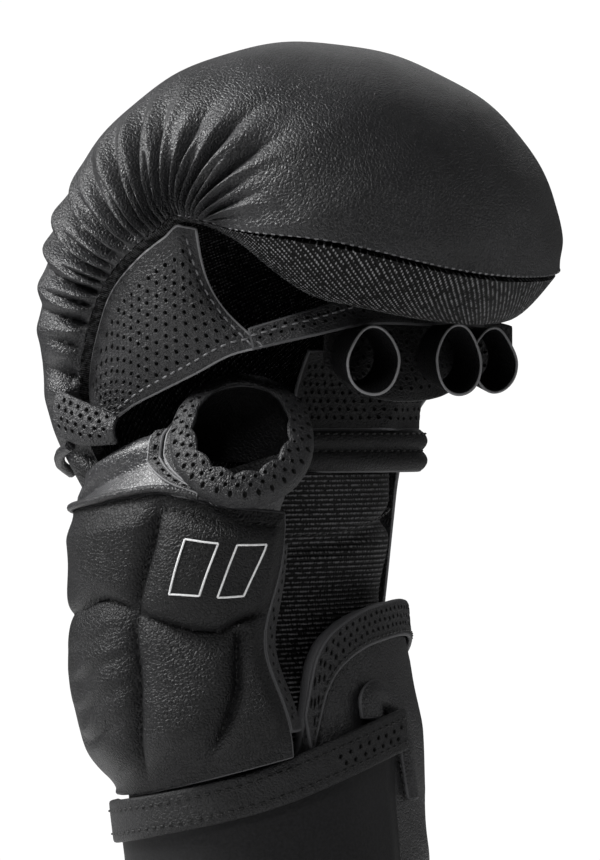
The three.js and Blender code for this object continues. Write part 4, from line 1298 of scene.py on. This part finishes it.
def grey(tone, blue):
    return (tone, tone, blue)


def leather(name, dark, light, rough, grain=1.0, coat=0.0, gloss=0.5):
    """Fine-grained leather: pebbles and creases in its grain, and tone that wanders a little."""
    material, tree, shader = nodes_of(name)
    place = coordinates(tree)
    tone = noise(tree, place, 45, 6, Roughness=0.65)
    colour = blend_colours(tree, ramp(tree, tone, 0, 1, 0.35, 0.68), dark, light)
    tree.links.new(ramp(tree, tone, rough + 0.07, rough - 0.06), shader.inputs["Roughness"])
    links = [("Vector", place)]
    pebble = add(tree, "ShaderNodeTexVoronoi", links, feature="DISTANCE_TO_EDGE", Scale=1100)
    creases = noise(tree, place, 210, 5, Roughness=0.7, Distortion=1.2)
    pores = noise(tree, place, 1500, 3, Roughness=0.6)
    normal = bump(tree, creases, 0.8 * grain, 0.5)
    normal = bump(tree, ramp(tree, pebble.outputs["Distance"], 0, 1, 0, 0.25), 0.22 * grain, 0.7, normal)
    normal = bump(tree, pores, 0.4 * grain, 0.75, normal)
    values = {"Specular IOR Level": gloss, "Coat Weight": coat, "Coat Roughness": 0.35}
    dress(tree, shader, colour, normal, **values)
    return material


def plain(name, colour, rough):
    """A cut edge, a thread, print or the inside of a hole, with a fine fibre to it. The hole's near-black
    is painted shade, and the light thread and lightest edge carry a painted highlight.
    """
    material, tree, shader = nodes_of(name)
    fibre = noise(tree, coordinates(tree), 2600, 2)
    lighter = tuple(min(1, c * 1.7 + 0.003) for c in colour)
    colour = blend_colours(tree, fibre, colour, lighter)
    dress(tree, shader, colour, bump(tree, fibre, 0.12, 0.7), Roughness=rough)
    return material


def woven(name, dark, light, rib, turn, dots):
    """Ribbed cloth: bright ribs, each a row of small floats, with their valleys painted dark as shade.

    rib: millimetres from rib to rib; turn: degrees; dots: how dark the gaps between floats are painted,
    as shade.
    """
    material, tree, shader = nodes_of(name)
    place = coordinates(tree, "cloth", math.radians(turn))
    split = add(tree, "ShaderNodeSeparateXYZ", [("Vector", place)])

    def wave(axis, pitch):
        scaled = add(tree, "ShaderNodeMath", [(0, split.outputs[axis])], operation="MULTIPLY")
        scaled.inputs[1].default_value = 2 * math.pi / (pitch * MM)
        sine = add(tree, "ShaderNodeMath", [(0, scaled.outputs[0])], operation="SINE")
        return ramp(tree, sine.outputs[0], 0, 1, -1, 1)

    floats = multiply(tree, wave("X", rib), ramp(tree, wave("Y", rib * 0.66), 1 - dots, 1))
    wear = ramp(tree, noise(tree, coordinates(tree), 900, 3), 0.1, 1.55, 0.25, 0.75)
    rubbed = multiply(tree, floats, wear)
    colour = blend_colours(tree, ramp(tree, rubbed, 0, 1, 0.4, 0.85), dark, light)
    values = {"Roughness": 0.55, "Specular IOR Level": 0.15}
    dress(tree, shader, colour, bump(tree, rubbed, 0.45), **values)
    return material


def canvas(name, dark, light, rough):
    """Matte cloth-like face with a fine even grain."""
    material, tree, shader = nodes_of(name)
    place = coordinates(tree)
    grain = noise(tree, place, 1400, 2, Roughness=0.5)
    both = multiply(tree, grain, ramp(tree, noise(tree, place, 38, 4), 0.6, 1.6))
    colour = blend_colours(tree, ramp(tree, both, 0, 1, 0.3, 0.85), dark, light)
    values = {"Roughness": rough, "Specular IOR Level": 0.25}
    dress(tree, shader, colour, bump(tree, grain, 0.16, 0.55), **values)
    return material


LEATHER = leather("leather", grey(0.009, 0.01), grey(0.022, 0.024), 0.43, 0.72)
# Glossier leather for the thumb sleeve, with a lighter colour that is a painted highlight.
SATIN_HIGHLIT = leather("satin_leather_painted_highlight", grey(0.022, 0.024), grey(0.042, 0.045), 0.34, 0.6, 0.2)
PERFORATED = leather("perforated_leather", grey(0.009, 0.01), grey(0.02, 0.022), 0.48, 0.9)
# A darker copy of the leather: painted shade for the palm, the finger loops and apron, and the sleeve's
# inner side.
SHADED_LEATHER = leather("leather_painted_shade", grey(0.004, 0.0045), grey(0.009, 0.01), 0.55, 0.9, gloss=0.3)
MATTE = leather("matte_leather", grey(0.006, 0.0065), grey(0.013, 0.014), 0.55, 0.7, gloss=0.35)
# A still darker copy of the leather for the thumb panel: painted shade.
THUMB_SHADED_LEATHER = leather("thumb_leather_painted_shade", grey(0.002, 0.0023), grey(0.007, 0.008), 0.48, 0.9, gloss=0.3)
EDGE = plain("cut_edge", grey(0.045, 0.048), 0.6)
# A much lighter cut edge: the raw edge's own lighter colour with a painted highlight over it.
HIGHLIT_EDGE = plain("cut_edge_painted_highlight", grey(0.16, 0.165), 0.7)
# Near-black inside of the holes: painted shade.
HOLE_SHADE = plain("pit", grey(0.0008, 0.0008), 0.9)
THREAD = plain("thread", grey(0.0015, 0.0016), 0.45)
# The black thread painted light grey: a painted highlight.
HIGHLIT_THREAD = plain("thread_painted_highlight", grey(0.11, 0.115), 0.3)
PRINT = plain("print", grey(0.62, 0.63), 0.5)
# In both cloths the valleys between the ribs and the gaps between floats are painted dark as shade.
TWILL = woven("twill", grey(0.0004, 0.0005), grey(0.34, 0.35), 1.03, 54, 0.6)
ELASTIC_CLOTH = woven("elastic", grey(0.0004, 0.0005), grey(0.13, 0.135), 1.15, 90, 0.25)
STRAP_CLOTH = canvas("strap_cloth", grey(0.004, 0.0045), grey(0.011, 0.012), 0.62)
SMOOTH = [LEATHER, EDGE]
# Materials of perforated pieces: the leather, its cut edge and the holes, whose near-black is painted
# shade; BRIGHT_EDGED's cut edge carries a painted highlight.
PIERCED = [PERFORATED, EDGE, HOLE_SHADE]
BRIGHT_EDGED = [PERFORATED, HIGHLIT_EDGE, HOLE_SHADE]
TURNED_EDGED = [PERFORATED, PERFORATED, HOLE_SHADE]


def sheet_shape(surface, low, high, rounding=0.8, fine=0.9, ring=False, inner=MAIN):
    """A plain sheet over the surface, with a point about every fine millimetres."""
    size_a, size_b = surface.lengths()
    n_a, n_b = max(4, round(size_a / fine)), max(4, round(size_b / fine))
    a = spread(surface.a, n_a)
    net = grid(a[:-1] if ring else a, spread(surface.b, n_b), ring)
    return wall(surface, net, low, high, rounding, inner)


NARROWEST_SHEET = 0.01  # metres; sheet() stops early for a sheet narrower than this


def pierced(name, surface, materials, top, edge, *nodes, foot=0.0, slot="perforated", **holes):
    """Builds a perforated sheet over a surface."""
    net = perforated(surface, edge, **holes)
    return build(name, wall(surface, net, foot, top), materials, slot, *nodes)


def sheet(surface):
    """Works out the flat size of the sheet that covers a surface, and stops early for a narrow strip;
    nothing more is done with it.
    """
    a, b = (np.linspace(*span, 121) for span in (surface.a, surface.b))
    points = surface.at(*np.meshgrid(a, b, indexing="ij"))
    run_a, run_b = (np.linalg.norm(np.diff(points, axis=k), axis=-1) for k in (0, 1))
    flat = sorted(round(run.sum(axis=k).max()) * MM for k, run in enumerate((run_a, run_b)))
    if flat[0] < NARROWEST_SHEET:
        return


def make_pad():
    shell = build("pad_leather", pad_leather(), [LEATHER], "leather", "knuckle_pad")
    lining = build("pad_underside", pad_lining(), [TWILL], "woven", "pad_lining")
    surface = Surface(pad_outer, (0, PAD_LAST), (-1, 1), flip=True)
    s = np.linspace(8.7, PAD_LAST - 0.05, 160)
    v = np.linspace(-0.9, 0.9, 160)
    rows = [seam(surface, s, side, 0.02, *PAD_STITCH) for side in (-0.995, 0.995)]
    rows.append(seam(surface, PAD_LAST - 0.02, v, 0.02, *PAD_STITCH))
    build("pad_stitches", join(rows), [HIGHLIT_THREAD], "leather")


def make_gussets():
    for name, rows, side in (("index", INDEX_GUSSET, -1), ("outer", OUTER_GUSSET, 1)):
        surface = gusset_surface(rows, side)
        node = f"{name}_gusset"
        piece = pierced(f"{name}_side", surface, BRIGHT_EDGED, 0, 3.4, node, foot=-SHEET)
        last = surface.a[1]
        u = np.linspace(0.1, last - 0.25, 120)
        v = np.linspace(0.1, 0.95, 80)
        rows = [
            seam(surface, u, 0.92, 0, *SIDE_STITCH),
            seam(surface, last - 0.3 * (1 - 0.3 * v), v, 0, *SIDE_STITCH),
        ]
        sewing = build(f"{name}_side_stitches", join(rows), [HIGHLIT_THREAD], "leather")
        sheet(surface)


def make_fingers():
    band = band_surface()
    strip = pierced("finger_strip", band, PIERCED, SHEET, 1.2, "finger_band")
    u = np.linspace(0.05, 4.9, 90)
    shape = seam(band, u, 0.3, SHEET, *SIDE_STITCH)
    sewing = build("finger_strip_stitches", shape, [HIGHLIT_THREAD], "leather")
    sheet(band)
    # The loops are in the leather darkened as painted shade, and their cut edge carries a painted
    # highlight.
    dark = [SHADED_LEATHER, HIGHLIT_EDGE]
    for number in range(len(FINGER_LOOPS["x"])):
        surface = loop_surface(number)
        shape = sheet_shape(surface, 0, LOOP_THICK, 0.9, 0.6, ring=True)
        piece = build(f"finger_parting_{number + 1}", shape, dark, "leather", f"finger_loop_{number + 1}")
        sheet(surface)
    apron = upright_surface(APRON)
    # The apron is in the leather darkened as painted shade, and its holes are painted black as shade.
    hanging = [SHADED_LEATHER, SHADED_LEATHER, HOLE_SHADE]
    piece = pierced("finger_apron", apron, hanging, 0, 1.6, foot=-1.0)
    sheet(apron)


def make_palm():
    surface = palm_surface()
    # The palm's sheet and rolls are in the leather darkened as painted shade.
    materials = [SHADED_LEATHER, EDGE, HOLE_SHADE]
    piece = pierced("palm_sheet", surface, materials, SHEET, 1.8, "palm_panel", pitch=2.7, row_pitch=2.1)
    sheet(surface)
    hem = hem_surface()
    net = grid(spread(hem.a, 90), spread(hem.b, 40))
    thick = PALM_HEM["thick"] + PALM_HEM["roll"] * np.abs(np.sin(net.b * 2 * math.pi)) ** 0.8
    build("palm_rolls", wall(hem, net, 0, thick, 0.5), [SHADED_LEATHER, EDGE], "leather", "palm_hem")
    u = np.linspace(0.1, 4.9, 60)
    rows = [seam(hem, u, t, PALM_HEM["thick"] + lift, 2.4) for t, lift in ((0.5, 0.1), (0.93, 0.9))]
    build("palm_stitches", join(rows), [THREAD], "leather")
    piece = build("palm_stretch", palm_elastic(), [ELASTIC_CLOTH], "elastic", "palm_elastic")
    surface = elastic_surface()
    b = np.linspace(-20, 66, 60)
    shape = seam(surface, b, elastic_fold(b) + 2.4, SHEET + 0.1, 2.6)
    sewing = build("palm_stretch_stitches", shape, [THREAD], "leather")
    sheet(surface)


def printed_bars(surface):
    """Thin raised outlines of the bars."""
    shapes = []
    for corners in BARS:
        for (t0, up0), (t1, up1) in zip(corners, corners[1:] + corners[:1]):
            t, up = np.linspace(t0, t1, 24), np.linspace(up0, up1, 24)
            shapes.append(tube(surface.lifted(t, up, quilt_thick(t, up) - 0.02), BAR_LINE, 6))
    return join(shapes)


def make_thumb():
    # The quilted panel is in the leather darkened as painted shade.
    panel = build("thumb_cushion", thumb_panel(), [THUMB_SHADED_LEATHER, EDGE], "leather", "thumb_panel")
    surface = thumb_surface()
    up = np.linspace(0.16, 0.94, 90)
    low_up = np.linspace(0.1, 0.55, 60)
    t = np.linspace(0.72, 0.97, 40)
    rows = [
        seam(surface, back_seam(up), up, quilt_thick(back_seam(up), up) + 0.05, 2.3, 1.6, 0.3),
        seam(surface, front_seam(low_up), low_up, quilt_thick(front_seam(low_up), low_up), 2.3, 1.5),
        seam(surface, t, HEM_SEAM, quilt_thick(t, HEM_SEAM) + 0.05, 1.9, 1.2),
    ]
    build("thumb_stitches", join(rows), [THREAD], "leather")
    build("thumb_bars", printed_bars(surface), [PRINT], "leather")
    strip = thumb_strip_surface()
    piece = pierced("thumb_strip", strip, PIERCED, 1.2, 1.0, "thumb_edge_strip", pitch=2.4)
    sheet(strip)
    build("thumb_cord", tube(piping_line(), CORD_RADIUS), SMOOTH, "leather", "thumb_piping")
    sleeve = sleeve_surface()
    # The sleeve's outside carries a painted highlight in its colour; its inner side is in the leather
    # darkened as painted shade.
    shape = sheet_shape(sleeve, 0, SLEEVE_WALL, 0.6, 0.9, ring=True, inner=LINED)
    build("thumb_dome", shape, [SATIN_HIGHLIT, EDGE, SHADED_LEATHER], "leather", "thumb_sleeve")
    for number, (low, high) in enumerate(SLEEVE_STRIPS):
        around = sleeve_strip_surface(sleeve, low, high)
        name = f"thumb_ring_strip_{number + 1}"
        piece = pierced(name, around, BRIGHT_EDGED, 0.8, 0.7, pitch=2.8, row_pitch=1.9)
        sheet(around)
    binding = binding_surface()
    holes = {"ring": True, "pitch": 3.2, "row_pitch": 1.9}
    piece = pierced("thumb_ring", binding, TURNED_EDGED, 1.1, 0.6, "thumb_binding", **holes)
    sheet(binding)


def make_web():
    surface = upright_surface(WEB_TAB, WEB_TAB_BOW)
    piece = pierced("web_patch", surface, TURNED_EDGED, 1.3, 1.0, "web_tab", pitch=2.6, row_pitch=2.0)
    sheet(surface)
    build("web_strip", tube(resample(WEB_CORD, 0.8), WEB_CORD_RADIUS), SMOOTH, "leather", "web_cord")


def make_cuff():
    build("cuff_shell", cuff_body(), SMOOTH, "leather", "cuff")
    binding = cuff_binding_surface()
    thick = CUFF_BINDING["thick"]
    edge = pierced("cuff_edge", binding, PIERCED, thick, 1.1, "cuff_binding", pitch=2.6, row_pitch=2.1)
    b = np.linspace(CUFF_BINDING["first"] + 1, CUFF_BINDING["last"] - 1, 120)
    sewing = build("cuff_stitches", seam(binding, b, 0.1, thick), [THREAD], "leather")
    sheet(binding)
    channel = channel_surface()
    net = grid(spread(channel.a, 90), spread(channel.b, 20))
    thick = CHANNEL_EDGE + (CHANNEL_THICK - CHANNEL_EDGE) * np.sqrt(1 - 0.98 * net.b**2)
    build("strap_loop", wall(channel, net, 0, thick, 0.5), SMOOTH, "leather", "cuff_channel")
    shape = seam(channel, np.linspace(0.1, 5.9, 80), -1.18, 0.05, 2.2, 1.5, 0.32)
    build("strap_loop_stitches", shape, [THREAD], "leather")


def make_strap():
    surface = strap_surface()
    net = grid(spread(STRAP_ENDS, 330), spread((0, 1), 50))
    waves = STRAP_WAVE * np.sin(net.a * 0.12 + 4 * net.b) * np.sin(net.b * math.pi)
    thin = 1 - 0.6 * smooth((net.a - STRAP_ENDS[1] + STRAP_TAPER) / STRAP_TAPER)
    shape = wall(surface, net, 0, (STRAP_THICK - STRAP_WAVE) * thin + waves, 0.6)
    piece = build("strap", shape, [STRAP_CLOTH, EDGE], "strap", "wrist_strap")
    sheet(surface)
    surface = strap_binding_surface()
    thick = STRAP_BINDING["thick"]
    holes = {"keep": lambda b, t: b > STRAP_BINDING["holes"], "pitch": 2.7, "row_pitch": 2.0}
    matte = [MATTE, MATTE, HOLE_SHADE]
    edge = pierced("strap_edge", surface, matte, thick, 1.4, "strap_binding", slot="strap", **holes)
    b = np.linspace(STRAP_BINDING["first"] + 1, STRAP_ENDS[1] - 1, 200)
    rows = [seam(surface, b, t, thick, 2.4) for t in (0.18, 0.8)]
    sewing = build("strap_stitches", join(rows), [THREAD], "leather")
    sheet(surface)


AZIMUTH = math.radians(38)
SCALE = 0.24 * MM  # metres a pixel at the wrist's axis
DISTANCE = 1.1
PICTURE = (600, 860)
AXIS_PIXEL = 277  # where the wrist's axis crosses the picture
FLOOR_PIXEL = 1060  # and the height of the floor, below the picture


def camera():
    """The photograph's camera: level, and aimed past the wrist's axis."""
    right = Vector((math.cos(AZIMUTH), math.sin(AZIMUTH), 0))
    back = Vector((math.sin(AZIMUTH), -math.cos(AZIMUTH), 0))
    height = (FLOOR_PIXEL - PICTURE[1] / 2) * SCALE
    centre = Vector(FRAME_SHIFT * MM) + right * (PICTURE[0] / 2 - AXIS_PIXEL) * SCALE
    centre.z += height
    eye = bpy.data.objects.new("camera", bpy.data.cameras.new("camera"))
    bpy.context.scene.collection.objects.link(eye)
    eye.location = centre + back * DISTANCE
    eye.rotation_mode = "QUATERNION"
    eye.rotation_quaternion = (-back).to_track_quat("-Z", "Y")
    eye.data.sensor_width = 36
    eye.data.lens = 36 * DISTANCE / (PICTURE[1] * SCALE)
    eye.data.clip_end = 50
    bpy.context.scene.camera = eye
    bpy.context.scene.view_settings.view_transform = "Standard"


LIGHTS = (
    # name, bearing round the glove in degrees from the camera's side, height, distance, size, power
    ("key", -90, 0.7, 0.66, 0.34, 13.0),
    ("front", -14, 0.9, 0.85, 0.2, 3.4),
    ("right", 96, 0.3, 0.9, 0.35, 0.8),
    ("back", 170, 0.8, 1.0, 0.6, 1.0),
)
LIGHTS_AIM = Vector((0, 0, 0.14))
SURROUND = 0.08  # brightness of the studio as it lights the glove


def lights():
    """The lamps, and a studio that is white where the camera looks at it."""
    for name, bearing, height, distance, size, power in LIGHTS:
        turn = AZIMUTH + math.radians(bearing)
        lamp = bpy.data.objects.new(name, bpy.data.lights.new(name, "AREA"))
        lamp.data.energy = power
        lamp.data.size = size
        lamp.location = (math.sin(turn) * distance, -math.cos(turn) * distance, height)
        lamp.rotation_mode = "QUATERNION"
        lamp.rotation_quaternion = (LIGHTS_AIM - lamp.location).to_track_quat("-Z", "Y")
        bpy.context.scene.collection.objects.link(lamp)
    world = bpy.data.worlds.new("studio")
    world.use_nodes = True
    tree = world.node_tree
    shown = add(tree, "ShaderNodeBackground", Color=(1, 1, 1, 1), Strength=1.05)
    lit = add(tree, "ShaderNodeBackground", Color=(1, 1, 1, 1), Strength=SURROUND)
    seen = add(tree, "ShaderNodeLightPath").outputs["Is Camera Ray"]
    either = add(tree, "ShaderNodeMixShader", [(0, seen), (1, lit.outputs[0]), (2, shown.outputs[0])])
    tree.links.new(either.outputs[0], tree.nodes["World Output"].inputs["Surface"])
    bpy.context.scene.world = world


FLOOR_REACH = 0.48  # metres; it ends just below the picture
FLOOR_CORNERS = 96


def floor():
    """A pale round floor, slightly below the glove's rim."""
    mesh = bpy.data.meshes.new("floor")
    turns = np.linspace(0, 2 * math.pi, FLOOR_CORNERS, endpoint=False)
    corners = stack(np.cos(turns) * FLOOR_REACH, np.sin(turns) * FLOOR_REACH, -0.2 * MM)
    mesh.from_pydata(corners.tolist(), [], [list(range(FLOOR_CORNERS))])
    material, tree, shader = nodes_of("floor")
    cloud = add(tree, "ShaderNodeTexNoise", [("Vector", coordinates(tree))], Scale=3.0)
    colour = blend_colours(tree, cloud.outputs["Fac"], grey(0.82, 0.82), grey(0.86, 0.86))
    tree.links.new(colour, shader.inputs["Base Color"])
    shader.inputs["Roughness"].default_value = 0.8
    mesh.materials.append(material)
    ground = bpy.data.objects.new("floor", mesh)
    bpy.context.scene.collection.objects.link(ground)


camera()
make_pad()
make_gussets()
make_fingers()
make_palm()
make_thumb()
make_web()
make_cuff()
make_strap()
lights()
floor()
